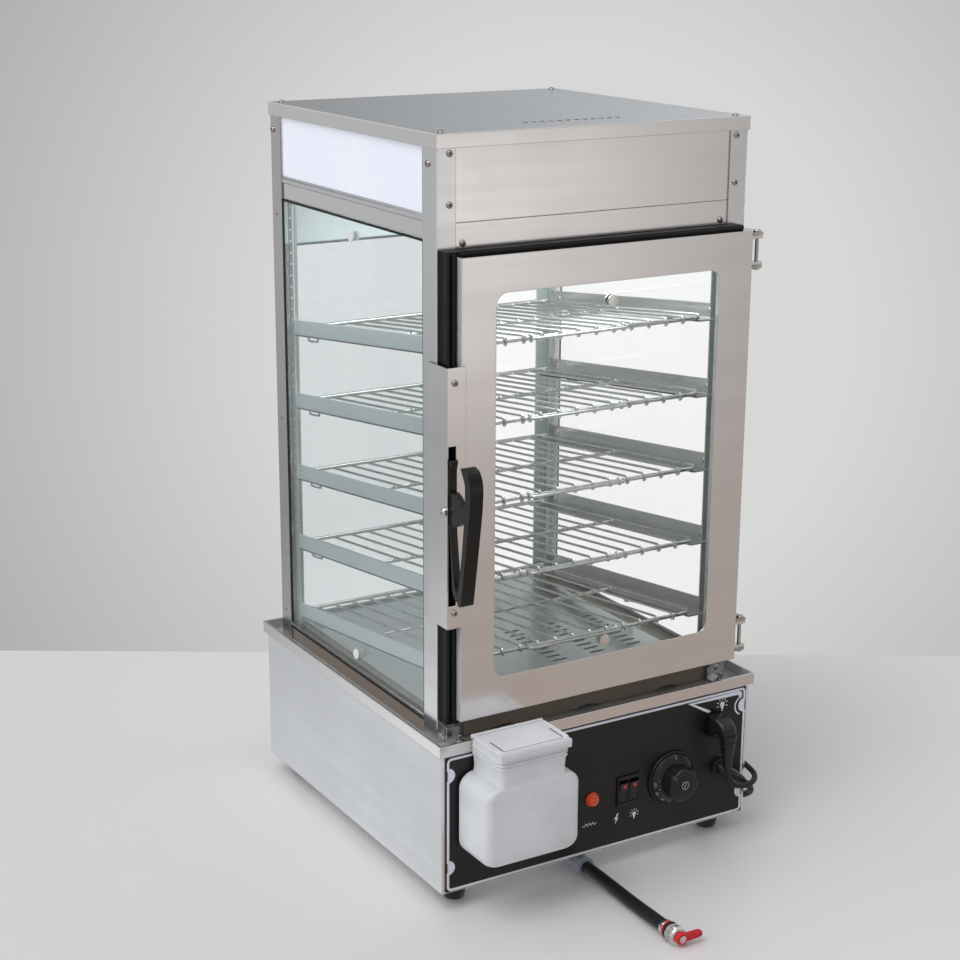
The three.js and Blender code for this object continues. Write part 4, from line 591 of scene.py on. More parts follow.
def make_drain_handle():
    """Red lever of the drain valve with its plated centre."""
    x, y, z = VALVE_AT
    back, front = y - 24.3, y - 29.3
    outline = []
    for i in range(17):
        angle = math.radians(40 + 280 * i / 16)
        outline.append(polar(x, z, 6.3, angle))
    outline += [(x + 8, z - 3.9), (x + 20, z - 3.6), (x + 23, z - 2.9), (x + 23.9, z - 1), (x + 23.9, z + 1),
                (x + 23, z + 2.9), (x + 20, z + 3.6), (x + 8, z + 3.9)]
    shape = Shape()
    shape.face(outline, back, front)
    made = shape.build("drain_lever_arm", "drain_handle", [red_plastic], bevel=0.9, segments=3,
                       replaces=["drain_lever"])
    cap = Shape()
    cap.lathe([(3.6, 0), (3.6, 0.5), (3.1, 0.9), (0, 1.0)], (x, front, z), FORWARD, 28)
    cap.build("drain_lever_cap", "drain_handle", [chrome])
    return made


make_cords()


# Materials on the fixed frame

def dress(node, *finishes):
    slots = nodes[node].data.materials
    slots.clear()
    for one in finishes:
        slots.append(one)


def dress_edges(node, axis, faced, edged):
    """One finish on the faces along an axis and another on the edges round them."""
    dress(node, faced, edged)
    for polygon in nodes[node].data.polygons:
        polygon.material_index = 0 if abs(polygon.normal[axis]) > FACING else 1


for names, finish in {
    ("base_shell",): steel_base,
    ("bottom_frame",): steel_shadow,
    ("post_front_left", "post_front_right"): steel_post,
    # the back left post is painted darker, as shade
    ("post_back_left",): steel_post_back_shaded,
    ("front_fascia", "latch_bracket"): steel_warm,
    ("water_tank",): steel_inside,
    ("steam_plate",): plate_steel,
    ("heating_element", "thermostat_body"): dark_steel,
    ("hinge_lower", "hinge_upper"): pin_steel,
    ("ceiling_panel",): white_plastic,
    ("light_panel_left", "light_panel_right", "light_panel_back", "lamp_tube"): opal,
    ("control_panel",): panel_black,
    ("switch_housing", "lamp_socket"): black_plastic,
    ("drain_outlet",): grey_plastic,
}.items():
    for name in names:
        dress(name, finish)
TRAY_RIM_Z = 0.17  # upward faces below it are the tray's floor, in metres
DOOR_FLANK_X = -0.155  # faces left of it are the door frame's left flank, which carries a painted highlight, in metres
# the tray's inner faces and floor get the painted shade
dress("drip_tray", steel_warm, tray_shaded_inside)
for polygon in nodes["drip_tray"].data.polygons:
    middle, facing = polygon.center, polygon.normal
    inward = facing.x * middle.x + facing.y * (middle.y - SHIFT_Y * MM) < 0
    if facing.z > FACING:
        inward = middle.z < TRAY_RIM_Z
    polygon.material_index = 1 if inward else 0


def dress_inward(node, outside, inside, axes):
    """Another finish on the faces that look towards the middle of the case along one of the axes."""
    dress(node, outside, inside)
    for polygon in nodes[node].data.polygons:
        centre = (polygon.center.x, polygon.center.y - SHIFT_Y * MM, polygon.center.z)
        polygon.material_index = int(any(
            abs(polygon.normal[axis]) > FACING and polygon.normal[axis] * centre[axis] < 0 for axis in axes))


# the door frame's left flank gets the painted highlight
dress("door_frame", steel_warm, edge_highlight)
for polygon in nodes["door_frame"].data.polygons:
    polygon.material_index = int(polygon.normal.x < -FACING and polygon.center.x < DOOR_FLANK_X)
# faces of the header frame and the back right post that look into the case get painted light
dress_inward("header_frame", steel_warm, pale_lit_inside, (0, 1))
dress_inward("door_gasket", seal_rubber, steel_inside, (0,))
dress_inward("post_back_right", steel_post, pale_lit_inside, (0, 1))
# the cover's level faces carry the painted cool reflection, its sides the warm steel
dress_edges("top_cover", 2, steel_cool_sheen, steel_warm)
dress_edges("left_glass", 0, side_pane, edge_glass)
dress_edges("right_glass", 0, clear_pane, edge_glass)
dress_edges("back_glass", 1, clear_pane, edge_glass)
dress_edges("door_glass", 1, clear_pane, steel_inside)


# Shelves and racks

TILT = math.radians(7)
SHELF_Y = 6.55
SHELF_Z = (531.9, 452.6, 373.3, 294.0, 214.7)
RAIL_Z = (547.0, 467.7, 388.4, 309.1, 229.8)
RAIL_Y = 8.4
ROD_FRONT, ROD_BACK, ROD_HALF = -146, 144.5, 152  # the cross rods, along the shelf and half their length
WIRES, WIRE_PITCH, WIRE_RADIUS, WIRE_Z = 15, 21, 1.4, 5.7
ROD_Z, CURL_RADIUS, PULL_HALF = 2.2, 3.6, 54
RAIL_HALF, RAIL_FOOT, RAIL_SHEET, RAIL_LEDGE = 150, -17, 1.5, 22


def tilted(y, z):
    """Placing matrix of a thing drawn level about its middle, in millimetres."""
    return Matrix.Translation((0, y, z)) @ Matrix.Rotation(-TILT, 4, "X")


def make_shelf(index):
    """Wire shelf: three cross rods, wires that curl round the front one, and a pull loop."""
    place = tilted(SHELF_Y, SHELF_Z[index])
    shape = Shape()

    def put(path, radius, sides):
        shape.tube([place @ Vector(p) for p in path], radius, sides)

    for y, z, radius, right in ((ROD_FRONT, ROD_Z, 2.2, 147), (0, ROD_Z, 2.0, ROD_HALF),
                                (ROD_BACK, 6.0, 2.3, ROD_HALF)):
        put([(-ROD_HALF, y, z), (0.6 - ROD_HALF, y, z), (right - 0.6, y, z), (right, y, z)],
            [radius - 0.6, radius, radius, radius - 0.6], 10)
    for i in range(WIRES):
        x = (i - WIRES // 2) * WIRE_PITCH
        path = [(x, ROD_BACK, WIRE_Z), (x, ROD_FRONT, WIRE_Z)]
        radii = [WIRE_RADIUS, WIRE_RADIUS]
        if abs(x) < 140:
            for step in range(1, 9):
                angle = math.radians(90 + 25 * step)
                path.append((x, *polar(ROD_FRONT, ROD_Z, CURL_RADIUS, angle)))
                radii.append(WIRE_RADIUS if step < 8 else 0.9)
        else:
            path += [(x, -147.6, 5.5)]
            radii.append(1.0)
        put(path, radii, 8)
    side = [(PULL_HALF, ROD_FRONT), (PULL_HALF, -150.5), (52.6, -153), (49.6, -154)]
    bends = [(-x, y) for x, y in side] + [(0, -154)] + side[::-1]
    pull = smooth_path([(x, y, ROD_Z) for x, y in bends], 5)
    put(pull, 1.5, 8)
    for x in (-PULL_HALF, PULL_HALF):
        ring = [(x + 0.6 * math.cos(a), *polar(ROD_FRONT, ROD_Z, 3.4, a))
                for a in full_turn(14)]
        shape.tube([place @ Vector(p) for p in ring], 1.3, 7, closed=True)
    name = f"shelf_{index + 1}"
    shape.build(f"{name}_wires", f"{name}_body", [chrome], replaces=[name])


for shelf_index in range(5):
    make_shelf(shelf_index)


UPRIGHT_WIDTH, UPRIGHT_FLANGE, UPRIGHT_SHEET = 9.0, 9.0, 1.4
HOLE_RADIUS, HOLE_PITCH = 1.7, 12.0


def perforated(shape, side, ya, z0, z1, x):
    """An upright strip in the YZ plane with a row of round holes, its outer face at x."""
    yb = ya + UPRIGHT_WIDTH
    rows = int((z1 - z0) / HOLE_PITCH)
    spare = (z1 - z0 - rows * HOLE_PITCH) / 2
    inner = x - side * UPRIGHT_SHEET
    for r in range(rows):
        za = z0 if r == 0 else z0 + spare + r * HOLE_PITCH
        zb = z1 if r == rows - 1 else z0 + spare + (r + 1) * HOLE_PITCH
        cy, cz = (ya + yb) / 2, z0 + spare + (r + 0.5) * HOLE_PITCH
        square = [(yb, cz), (yb, zb), (cy, zb), (ya, zb), (ya, cz), (ya, za), (cy, za), (yb, za)]
        hole = [polar(cy, cz, HOLE_RADIUS, a) for a in full_turn(8)]
        points, faces = [], []
        for px in (x, inner):
            points += [(px, *p) for p in square + hole]
        for k in range(8):
            m = (k + 1) % 8
            faces += [(k, m, 8 + m, 8 + k), (16 + k, 24 + k, 24 + m, 16 + m), (8 + k, 8 + m, 24 + m, 24 + k)]
        shape.add(points, faces)
    rim = [(px, py, pz) for py, pz in ((ya, z0), (yb, z0), (yb, z1), (ya, z1)) for px in (x, inner)]
    shape.add(rim, [(0, 1, 3, 2), (2, 3, 5, 4), (4, 5, 7, 6), (6, 7, 1, 0)])


def make_rack(side, name):
    """Two perforated uprights with five angle rails screwed to them, a wire hook under each rail."""
    outer = side * 168.1
    low, high = 182.3, 671.9
    shape = Shape()
    for end in (-1, 1):
        edge = RAIL_Y + end * RAIL_HALF
        start = edge if end < 0 else edge - UPRIGHT_WIDTH
        perforated(shape, side, start, low, high, outer)
        # each upright's folded flange gets the painted shade
        shape.box(outer - side * 1.2, outer - side * UPRIGHT_FLANGE, edge, edge - end * 1.5, low, high, 3)
    rail_out = side * 166.9
    for level in RAIL_Z:
        place = tilted(RAIL_Y, level)
        for near, far, top in ((0, RAIL_SHEET, 0), (0, RAIL_LEDGE, -15.5), (21, RAIL_LEDGE, -15.5)):
            shape.box(rail_out - side * near, rail_out - side * far, -RAIL_HALF, RAIL_HALF, RAIL_FOOT, top, 1,
                      place)
        bends = ((98, -16.5), (98, -20), (100, -21.2), (118, -21.2), (120, -20), (120, -16.5))
        hook = [(rail_out - side * 4, y, z) for y, z in bends]
        shape.tube([place @ Vector(p) for p in smooth_path(hook, 3)], 1.1, 6, 2)
        for y in (-141, 141):
            foot = place @ Vector((rail_out - side * RAIL_SHEET, y, -8))
            shape.lathe([(3.6, 0), (3.4, 0.8), (2.4, 1.7), (0, 2.0)], foot, (-side, 0, 0), 14, 2)
    # the right rack's rails get the painted shade, the left ones the bright steel
    rails = rail_steel if side < 0 else rack_shaded_steel
    shape.build(f"rack_{name}_frame", "case", [rail_steel, rails, screw_steel, rack_shaded_steel], sharp=30,
                replaces=[f"rack_{name}"])


make_rack(-1, "left")
make_rack(1, "right")


# Filler bottle and its lid

FILLER_X, FILLER_BACK, FILLER_FRONT = -116.5, -200.3, -254.3


def bottle_ring(half, front, back, z, corner_front, corner_back):
    """A slice of the bottle: soft corners in front and crisper ones at the back."""
    points = []
    for x_side, y_side, angle in corner_arcs(6):
        corner = corner_back if y_side > 0 else corner_front
        edge = back - corner if y_side > 0 else front + corner
        points.append((*polar(FILLER_X + x_side * (half - corner), edge, corner, angle), z))
    return points


def bottle_slices():
    """(height, half width, inset of the front, inset of the back, corners) from the foot to the mouth."""
    slices = []
    for i in range(9):
        t = math.radians(90 * i / 8)
        slices.append((66 + 13 * (1 - math.cos(t)), 54 - 12 * (1 - math.sin(t)), 6 * (1 - math.sin(t)),
                       2 * (1 - math.sin(t)), 9, 3.5))
    slices += [(96, 54, 0, 0, 9.5, 3.5), (112, 54, 0, 0, 9.5, 3.5), (126, 54, 0, 0, 9.5, 3.5)]
    for i in range(11):
        t = math.radians(90 * i / 10)
        slices.append((133 + 15 * math.sin(t), 54 - 15.8 * (1 - math.cos(t)), 1.2 * (1 - math.cos(t)), 0,
                       9.5 - 3.5 * math.sin(t), 3.5))
    slices += [(151, 37.3, 1.3, 0, 6, 3), (156, 37.2, 1.3, 0, 6, 3), (166, 38.1, 1.1, 0, 6, 3),
               (176, 39, 0.8, 0, 6, 3), (181.7, 39.1, 0.8, 0, 6, 3)]
    return slices


def make_bottle():
    outer, inner = [], []
    for z, half, front, back, soft, crisp in bottle_slices():
        outer.append(bottle_ring(half, FILLER_FRONT + front, FILLER_BACK - back, z, soft, crisp))
        inner.append(bottle_ring(half - 2, FILLER_FRONT + front + 2, FILLER_BACK - back - 2, max(z, 68.5),
                                 soft - 2, crisp - 1.5))
    shape = Shape()
    shape.loft(outer + list(reversed(inner)))
    shape.lathe([(7, 0), (7, 58.5)], (FILLER_X, -201.5, 118), BACKWARD, 24)
    for z, half in ((167.5, 38.6), (171.5, 39.0), (175.3, 39.4)):
        shape.tube(bottle_ring(half, FILLER_FRONT + 0.6, FILLER_BACK - 0.6, z, 6, 3), 0.9, 6, closed=True)
    shape.build("filler_bottle_body", "case", [bottle_plastic], sharp=50,
                replaces=["filler_bottle"])


def make_lid():
    """Hinged lid with a raised rim, a skirt round the mouth and inked lines on top."""
    shape = Shape()
    rings = []
    middle = -229.0
    for z, half_x, half_y, corner in ((181.9, 39.6, 25.2, 6), (182.4, 40.3, 25.9, 6.5),
                                      (185.0, 40.5, 26.1, 7),
                                      (186.0, 39.9, 25.5, 6.5), (186.1, 38.9, 24.5, 5.6),
                                      (185.5, 38.3, 23.9, 5)):
        rings.append([(FILLER_X + u, middle + v, z) for u, v in rounded_ring(half_x, half_y, corner, 6)])
    shape.loft(rings)
    shape.tube([(FILLER_X + u, -202.5, 184.2) for u in (-40.4, -40.0, 40.0, 40.4)],
               [1.7, 2.15, 2.15, 1.7], 14)
    shape.tube([(FILLER_X - 38, -206.2, 186.0), (FILLER_X + 38, -206.2, 186.0)], [0.9, 0.9], 8)
    lip = [(-256.2, 176.6), (-256.7, 177.2), (-256.9, 184), (-256.3, 185), (-253, 185), (-253, 182.6),
           (-255.2, 182.2), (-255.4, 176.6)]
    shape.loft([[(x, y, z) for y, z in lip] for x in (FILLER_X - 39.5, FILLER_X + 39.5)])
    for side in (-1, 1):
        x = FILLER_X + side * 33.5
        shape.tube([(x, -226, 185.62), (x, -249, 185.62)], 0.5, 6, 1)
    corners = ((-33.5, -249), (-31.5, -251.2), (31.5, -251.2), (33.5, -249))
    shape.tube([(FILLER_X + u, y, 185.6) for u, y in corners], 0.22, 6, 1)
    shape.build("filler_lid_cover", "filler_cap", [lid_plastic, ink_and_recess_shade], sharp=45,
                replaces=["filler_lid"])


make_bottle()
make_lid()


# Door handle

LATCH_Y, LATCH_Z = -186.3, 409.0
LEVER_LEFT, LEVER_RIGHT = -175.4, -168.0
STRIP = [(0.088, 0.91), (0.176, 0.91), (0.176, 0.84), (0.137, 0.75), (0.137, -0.25), (0.255, -1),
         (0.314, -1.27),
         (0.4, -1.36), (0.49, -1.32), (0.58, -1.2), (0.6, -1.5), (0.32, -1.5), (0.21, -1.36), (0.088, -0.2)]
WEB = [(0, 0.12), (0.137, 0.375), (0.3, 0.36), (0.51, 0.22), (0.66, 0.22), (0.78, 0.4), (0.8, 0.02),
       (0.74, -0.3), (0.66, -0.06), (0.5, -0.08), (0.34, -0.2), (0.137, -0.23), (0, -0.12)]
GRIP = [(0.667, -1.5), (0.843, -0.536), (0.97, 0.18), (1, 0.554), (0.97, 0.732), (0.863, 0.875),
        (0.725, 0.911),
        (0.627, 0.902), (0.706, 0.8), (0.804, 0.643), (0.794, 0.18), (0.686, -0.625), (0.569, -1.214),
        (0.54, -1.5)]
LEVER_REACH, LEVER_RISE = 51.0, 56.0


def scaled(shares):
    return [(forward * LEVER_REACH, up * LEVER_RISE) for forward, up in shares]


def rounded_outline(points, parts=4):
    """The outline with its sides kept and its corners rounded."""
    made = []
    count = len(points)
    for i in range(count):
        a, b, c = (Vector((*points[(i + k) % count], 0)) for k in (-1, 0, 1))
        cut = min((a - b).length, (c - b).length) * 0.42
        start, end = b + (a - b).normalized() * cut, b + (c - b).normalized() * cut
        for k in range(parts + 1):
            t = k / parts
            p = start * (1 - t) ** 2 + b * (2 * t * (1 - t)) + end * t * t
            made.append((p.x, p.y))
    return made


def make_handle():
    place = Matrix.Translation((0, LATCH_Y, LATCH_Z))
    shape = Shape()
    shape.plate(rounded_outline(scaled(STRIP), 3), LEVER_LEFT, LEVER_RIGHT, place)
    shape.plate(rounded_outline(scaled(WEB), 3), LEVER_LEFT + 0.6, LEVER_RIGHT - 0.6, place)
    boss = [(3, 0), (4.9, 0), (5.1, 0.4), (5.1, 7), (4.9, 7.4), (3, 7.4)]
    shape.lathe(boss, (LEVER_LEFT, LATCH_Y, LATCH_Z), (1, 0, 0), 24)
    shape.plate(rounded_outline(scaled(GRIP), 4), -179.7, -165.7, place)
    shape.build("handle_lever_grip", "lever", [gloss_black], bevel=1.1, segments=3, sharp=50,
                replaces=["handle_lever"])
    pin = Shape()
    pin.lathe([(3.2, 0), (4.3, 0.2), (4.4, 1.2), (3.9, 2.8), (2.4, 3.9), (0, 4.2)],
              (-177.1, LATCH_Y, LATCH_Z), (-1, 0, 0), 24)
    pin.lathe([(1.9, 0), (1.9, 4.6), (1.5, 5.0), (0, 5.0)], (-177.1, LATCH_Y, LATCH_Z), (-1, 0, 0), 16, 1)
    pin.build("latch_pin_head", "door", [chrome, screw_steel], sharp=40)


make_handle()


# Controls

MOUNT_Y, PANEL_Y = -198.1, -197.8
INK_FRONT, INK_BACK = PANEL_Y - 0.17, PANEL_Y - 0.02
DIAL = (87.5, 83.0)


def make_knob():
    """Scalloped thermostat knob on its sloping skirt, and the ring behind it."""
    x, z = DIAL
    back = MOUNT_Y - 0.8 - 0.3
    shape = Shape()
    shape.lathe([(3.3, 0), (26.2, 0), (26.6, 0.4), (26.6, 2.2), (26.0, 3.0), (20.6, 8.0), (19.2, 8.4),
                 (17, 8.4)],
                (x, back, z), FORWARD, 64)

    def flutes(angle):
        return 1 - 0.085 * (0.5 + 0.5 * math.cos(7 * angle)) ** 2.2

    shape.lathe([(18.3, 7.4), (18.2, 8.6), (18.0, 20.2), (17.4, 21.9), (16.2, 22.8), (14.6, 23.0), (0, 23.0)],
                (x, back, z), FORWARD, 112, wave=flutes)
    shape.lathe([(10.2, 22.8), (10.2, 23.05), (9.7, 23.3), (9.2, 22.9), (7.6, 22.2), (0, 22.0)], (x, back, z),
                FORWARD, 48, 1)
    shape.lathe([(6.2, 21.8), (6.2, 23.1), (5.6, 23.5), (0, 23.5)], (x, back, z), FORWARD, 36, 1)
    shape.build("thermostat_knob_body", "knob", [black_plastic, gloss_black], sharp=35,
                replaces=["thermostat_knob"])
    mark = Shape()
    face = back - 23.5
    ring = [(x + 4.1 * math.cos(a), face, z + 4.1 * math.sin(a)) for a in full_turn(28)]
    mark.tube(ring, 0.55, 6, 0, closed=True)
    mark.tube([(x - 1.6, face, z - 2.6), (x + 1.6, face, z + 2.6)], 0.65, 6)
    mark.tube([(x - 11.2, back - 23.0, z + 9.0), (x - 12.6, back - 23.0, z + 10.2)], 0.5, 6)
    mark.build("thermostat_knob_mark", "knob", [print_grey])
    scale = Shape()
    for i, degrees in enumerate(range(172, 293, 12)):
        a = math.radians(degrees)
        size = 0.42 if i % 2 else 0.62
        scale.lathe([(size, 0), (size, 0.5), (0, 0.55)],
                    (x + 21.4 * math.cos(a), back - 7.1, z + 21.4 * math.sin(a)), FORWARD, 10)
    a = math.radians(88)
    scale.tube([(x + r * math.cos(a), back - 2.6 - (26.6 - r) * 0.88, z + r * math.sin(a))
                for r in (22.4, 25.6)], 0.35, 6)
    scale.build("thermostat_scale", "knob", [print_grey])
    for text, degrees in (("120", 184), ("90", 208), ("60", 232), ("30", 256), ("0", 280)):
        number(text, math.radians(degrees), 24.3, back - 5.25)
    ring_shape = Shape()
    ring_shape.lathe([(5, 0), (29.2, 0), (29.6, 0.3), (29.6, 2.2), (29.2, 2.9), (28.4, 3.1), (27.4, 2.9),
                      (27.0, 2.3), (27.0, 0.8), (5, 0.8), (5, 0)], (x, MOUNT_Y, z), FORWARD, 72)
    ring_shape.build("dial_ring_rim", "case", [black_plastic], sharp=30,
                     replaces=["dial_ring"])


def number(text, angle, radius, y):
    """A number on the knob's sloping skirt, its foot towards the middle."""
    font = bpy.data.curves.new(f"dial_{text}", "FONT")
    font.body = text
    font.size = 4.4 * MM
    font.align_x, font.align_y = "CENTER", "CENTER"
    font.extrude = 0.00016
    font.materials.append(print_grey)
    made = bpy.data.objects.new(f"dial_number_{text}", font)
    bpy.context.scene.collection.objects.link(made)
    x, z = DIAL
    spin = Matrix.Rotation(math.pi / 2 - angle, 4, "Y")
    lean = Matrix.Rotation(math.radians(-42), 4, "X")
    place = Matrix.Translation(row(x + radius * math.cos(angle), y, z + radius * math.sin(angle)))
    made.matrix_world = place @ spin @ lean @ Matrix.Rotation(math.pi / 2, 4, "X")
    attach(made, "knob")


def make_rocker(side, name, node, body):
    """One rocker with a saddle face and a small lens in its upper end."""
    x = 32.5 + side * 6.3
    pivot_y, pivot_z = -195.5, 82.0
    tilt = math.radians(8)
    turn = Matrix.Translation((x, pivot_y, pivot_z)) @ Matrix.Rotation(tilt, 4, "X")
    face = []
    for i in range(13):
        t = -1 + i / 6
        face.append((5.0 + 1.2 * t * t, 11 * t))
    outline = face + [(0.4, 7.4), (-4, 7), (-4, -7), (0.4, -7.4)]
    shape = Shape()
    shape.plate(outline, -5.25, 5.25, turn)
    shape.build(f"{name}_body", body, [black_plastic], bevel=0.5, segments=2,
                replaces=[node])
    lens = Shape()
    foot = turn @ Vector((0, -5.4, 6.6))
    aim = (turn.to_3x3() @ Vector((0, -1, -0.16))).normalized()
    lens.lathe([(1.9, -0.3), (1.9, 0.5), (1.5, 1.2), (0.7, 1.6), (0, 1.7)], foot, aim, 18)
    lens.build(f"{name}_lens", body, [lens_red])


def make_indicator():
    x, z = -11.5, 81.5
    shape = Shape()
    shape.lathe([(4.8, 18), (5, 17.6), (5, 0.2)], (x, MOUNT_Y, z), BACKWARD, 24, 1)
    shape.lathe([(5, 0), (7.5, 0), (7.5, 1.0), (6.9, 1.5), (6.6, 3.4), (5.4, 5.0), (3.4, 5.9), (0, 6.2)],
                (x, MOUNT_Y, z), FORWARD, 40, 0, wave=lambda a: 1 - 0.02 * abs(math.sin(10 * a)))
    shape.build("indicator_lens", "case", [lens_orange, black_plastic], sharp=32,
                replaces=["indicator_lamp"])


def make_lamp_plug():
    """Right-angle plug in the socket, rounded over its shoulder, its tail ribbed as a strain relief."""
    x, z, back = 141.0, 132.0, -200.4
    shape = Shape()
    rings = []
    for forward, high, wide, corner in ((0, 11.5, 9.6, 3), (2, 12, 10.4, 4), (8, 11.6, 10.4, 5)):
        rings.append([(x + u, back - forward, z + v) for u, v in rounded_ring(wide, high, corner, 5)])
    for i in range(1, 13):
        angle = math.radians(7.5 * i)
        aim = Vector((0, -math.cos(angle), -math.sin(angle)))
        up = Vector((0, -math.sin(angle), math.cos(angle)))
        half = 11.6 - 3.0 * i / 12
        bend = Vector((0, -9.8 * math.sin(angle), 3.5 * math.cos(angle) - 2.5 * (1 - math.cos(angle))))
        middle = Vector((x, back - 9, z - 3.5)) + bend
        rings.append([middle + Vector((u, 0, 0)) + up * v
                      for u, v in rounded_ring(10.4 - 2.2 * i / 12, half, 4.6, 5)])
    shape.loft(rings)
    shape.loft([[(x + u, back - 21.5 + v, z - 4 - 2.2 * i)
                 for u, v in rounded_ring(8.4 - 0.25 * i, 7.4 - 0.3 * i, 3.4, 4)]
                for i in range(5)])
    tail = []
    top = z - 12
    for i in range(29):
        t = i / 28
        ribbed = 0.9 if i % 4 in (2, 3) and i < 26 else 0.0
        half = 7.6 - 3.6 * t - ribbed
        tail.append([(x - 1.0 * t + u, back - 21.5 - 2.0 * t + v, top - 28.6 * t)
                     for u, v in rounded_ring(half, half * 0.9, half * 0.5, 4)])
    shape.loft(tail)
    shape.lathe([(13, 0.6), (14.4, 0.2), (14.8, -0.4), (14.8, -2.1), (9, -2.3)], (x - 1, MOUNT_Y, z),
                BACKWARD, 48, 1)
    shape.lathe([(9, -3), (9, 11.5), (8.6, 12)], (x - 1, back, z), BACKWARD, 28)
    shape.build("lamp_plug_body", "case", [black_plastic, gloss_black], bevel=0.0, sharp=48,
                replaces=["lamp_plug"])


def make_gland():
    """Mains gland: hexagon flange, curved hood and a ribbed taper along the cord."""
    x, z = 148.0, 82.0
    shape = Shape()
    shape.lathe([(6, 16), (6, 0)], (x, MOUNT_Y - 2, z), BACKWARD, 20)
    shape.lathe([(8.8, 0), (9, 0.4), (9, 4.4), (8.4, 5), (6, 5)], (x, MOUNT_Y, z), FORWARD, 32)
    start, knee, end = Vector((x, -200.6, z)), Vector((x, -212.1, z)), Vector((x + 11, -212.1, z - 8.25))
    path, radii = [], []
    for i in range(13):
        t = i / 12
        path.append(start * (1 - t) ** 2 + knee * (2 * t * (1 - t)) + end * t * t)
        radii.append(6.3)
    aim = (end - knee).normalized()
    for i in range(1, 21):
        path.append(end + aim * (16.0 * i / 20))
        radii.append(6.0 - 1.4 * i / 20 - (0.55 if i % 4 in (0, 3) else 0.0))
    shape.tube(path, radii, 20)
    shape.build("mains_gland_hood", "case", [black_plastic], sharp=40,
                replaces=["mains_gland"])


make_knob()
make_rocker(-1, "rocker_left", "rocker_power", "power_rocker")
make_rocker(1, "rocker_right", "rocker_light", "light_rocker")
make_indicator()
make_lamp_plug()
make_gland()


def make_feet():
    for side, side_name in ((-1, "left"), (1, "right")):
        for end, end_name in ((-1, "front"), (1, "back")):
            shape = Shape()
            shape.lathe([(0, 1.2), (4, 1.2), (4.4, 0.3), (8.4, 0), (9.6, 0.4), (10.6, 2), (12.0, 8),
                         (12.5, 12), (12.5, 19.4), (12.1, 20), (0, 20)],
                        (side * 157, end * 170, 0), UPWARD, 36)
            name = f"foot_{end_name}_{side_name}"
            shape.build(f"{name}_rubber", "case", [black_rubber], sharp=30, replaces=[name])


make_feet()


# Screws, discs, seals and clamps

def screw(shape, foot, aim, radius=3.3, height=2.1, turn=0.0):
    """Pan head with a cross recess, marks 0 for the head and 1 for the recess, a dark box that paints the
    recess's shade.
    """
    aim = Vector(aim).normalized()
    profile = [(radius, 0), (radius, height * 0.35), (radius * 0.93, height * 0.62),
               (radius * 0.7, height * 0.9),
               (radius * 0.35, height), (0, height)]
    shape.lathe(profile, foot, aim, 20, 0)
    side = aim.orthogonal().normalized()
    side = Matrix.Rotation(turn, 3, aim) @ side
    other = aim.cross(side)
    long, thin, top = radius * 0.52, radius * 0.14, height + 0.06
    for a, b in ((side, other), (other, side)):
        centre = Vector(foot) + aim * top
        corners = [centre + a * (s * long) + b * (t * thin) for s, t in ((-1, -1), (1, -1), (1, 1), (-1, 1))]
        below = [c - aim * 0.8 for c in corners]
        shape.add(corners + below,
                  [(0, 1, 2, 3), (7, 6, 5, 4), (0, 4, 5, 1), (1, 5, 6, 2), (2, 6, 7, 3), (3, 7, 4, 0)], 1)


COVER_TOP = 755.0
HINGE_PIN = (183.5, -180.0)


def make_screws():
    front_y = -168.2
    front = Shape()
    for i, (x, z) in enumerate(((-162, 737), (-162, 691), (162, 737), (162, 691))):
        screw(front, (x, front_y, z), FORWARD, turn=0.5 * i)
    for i, x in enumerate((-147, 147)):
        screw(front, (x, -166.4, 655), FORWARD, turn=0.3 + i)
        screw(front, (x * 1.1, front_y, 176 + 3 * i), FORWARD, 3.0, turn=0.8 * i)
    for side in (-1, 1):
        for i, (y, z) in enumerate(((-152, 727), (175, 727), (170, 640), (170, 420), (170, 200))):
            radius = 3.3 if i < 2 else 2.0
            screw(front, (side * 175.2, y, z), (side, 0, 0), radius, 2.1 if i < 2 else 0.9, turn=0.4 * i)
    for x in (-162, -70, 70, 162):
        for z in (716, 640, 200) if abs(x) > 100 else (640,):
            screw(front, (x, 180.2 if abs(x) > 100 else 178.4, z), BACKWARD, 3.0, turn=x * 0.01)
    for i, (x, y) in enumerate(((-166, -160), (166, -160), (166, 171), (-166, 171))):
        screw(front, (x, y, COVER_TOP), UPWARD, 3.3, 2.0, turn=0.7 * i)
    front.build("case_screws", "case", [screw_steel, ink_and_recess_shade], sharp=35)
    door = Shape()
    for i, z in enumerate((531.6, 308.6)):
        screw(door, (-169, -190.6, z), FORWARD, 3.3, turn=0.9 + i)
    door.build("bracket_screws", "door", [screw_steel, ink_and_recess_shade], sharp=35)


def make_discs():
    """Round plastic studs that hold the panes apart from the racks."""
    profile = [(5.2, 0), (5.6, 0.3), (5.6, 1.5), (5.1, 2.0), (0, 2.1)]
    shape = Shape()
    for side in (-1, 1):
        for z in (640, 203):
            shape.lathe(profile, (side * 173.45, 3, z), (side, 0, 0), 32)
            shape.lathe([(4.6, 0), (4.6, 2.6), (0, 2.7)], (side * 169.35, 3, z), (-side, 0, 0), 24)
    for z in (560, 240):
        shape.lathe(profile, (90, 178.45, z), BACKWARD, 32)
    shape.build("pane_discs", "case", [disc_white], sharp=35)
    door = Shape()
    for z in (591, 247):
        door.lathe([(5.6, 0), (5.8, 0.3), (5.8, 1.4), (5.2, 1.9), (0, 2.0)], (6, -187.35, z), FORWARD, 32, 0)
        door.lathe([(5.6, 0), (5.6, 1.4), (5.2, 1.8), (0, 1.9)], (6, -183.2, z), BACKWARD, 32, 0)
    door.build("door_discs", "door", [wire_chrome("stud_chrome", (0.7, 0.7, 0.68), 0.12)],
               sharp=35)


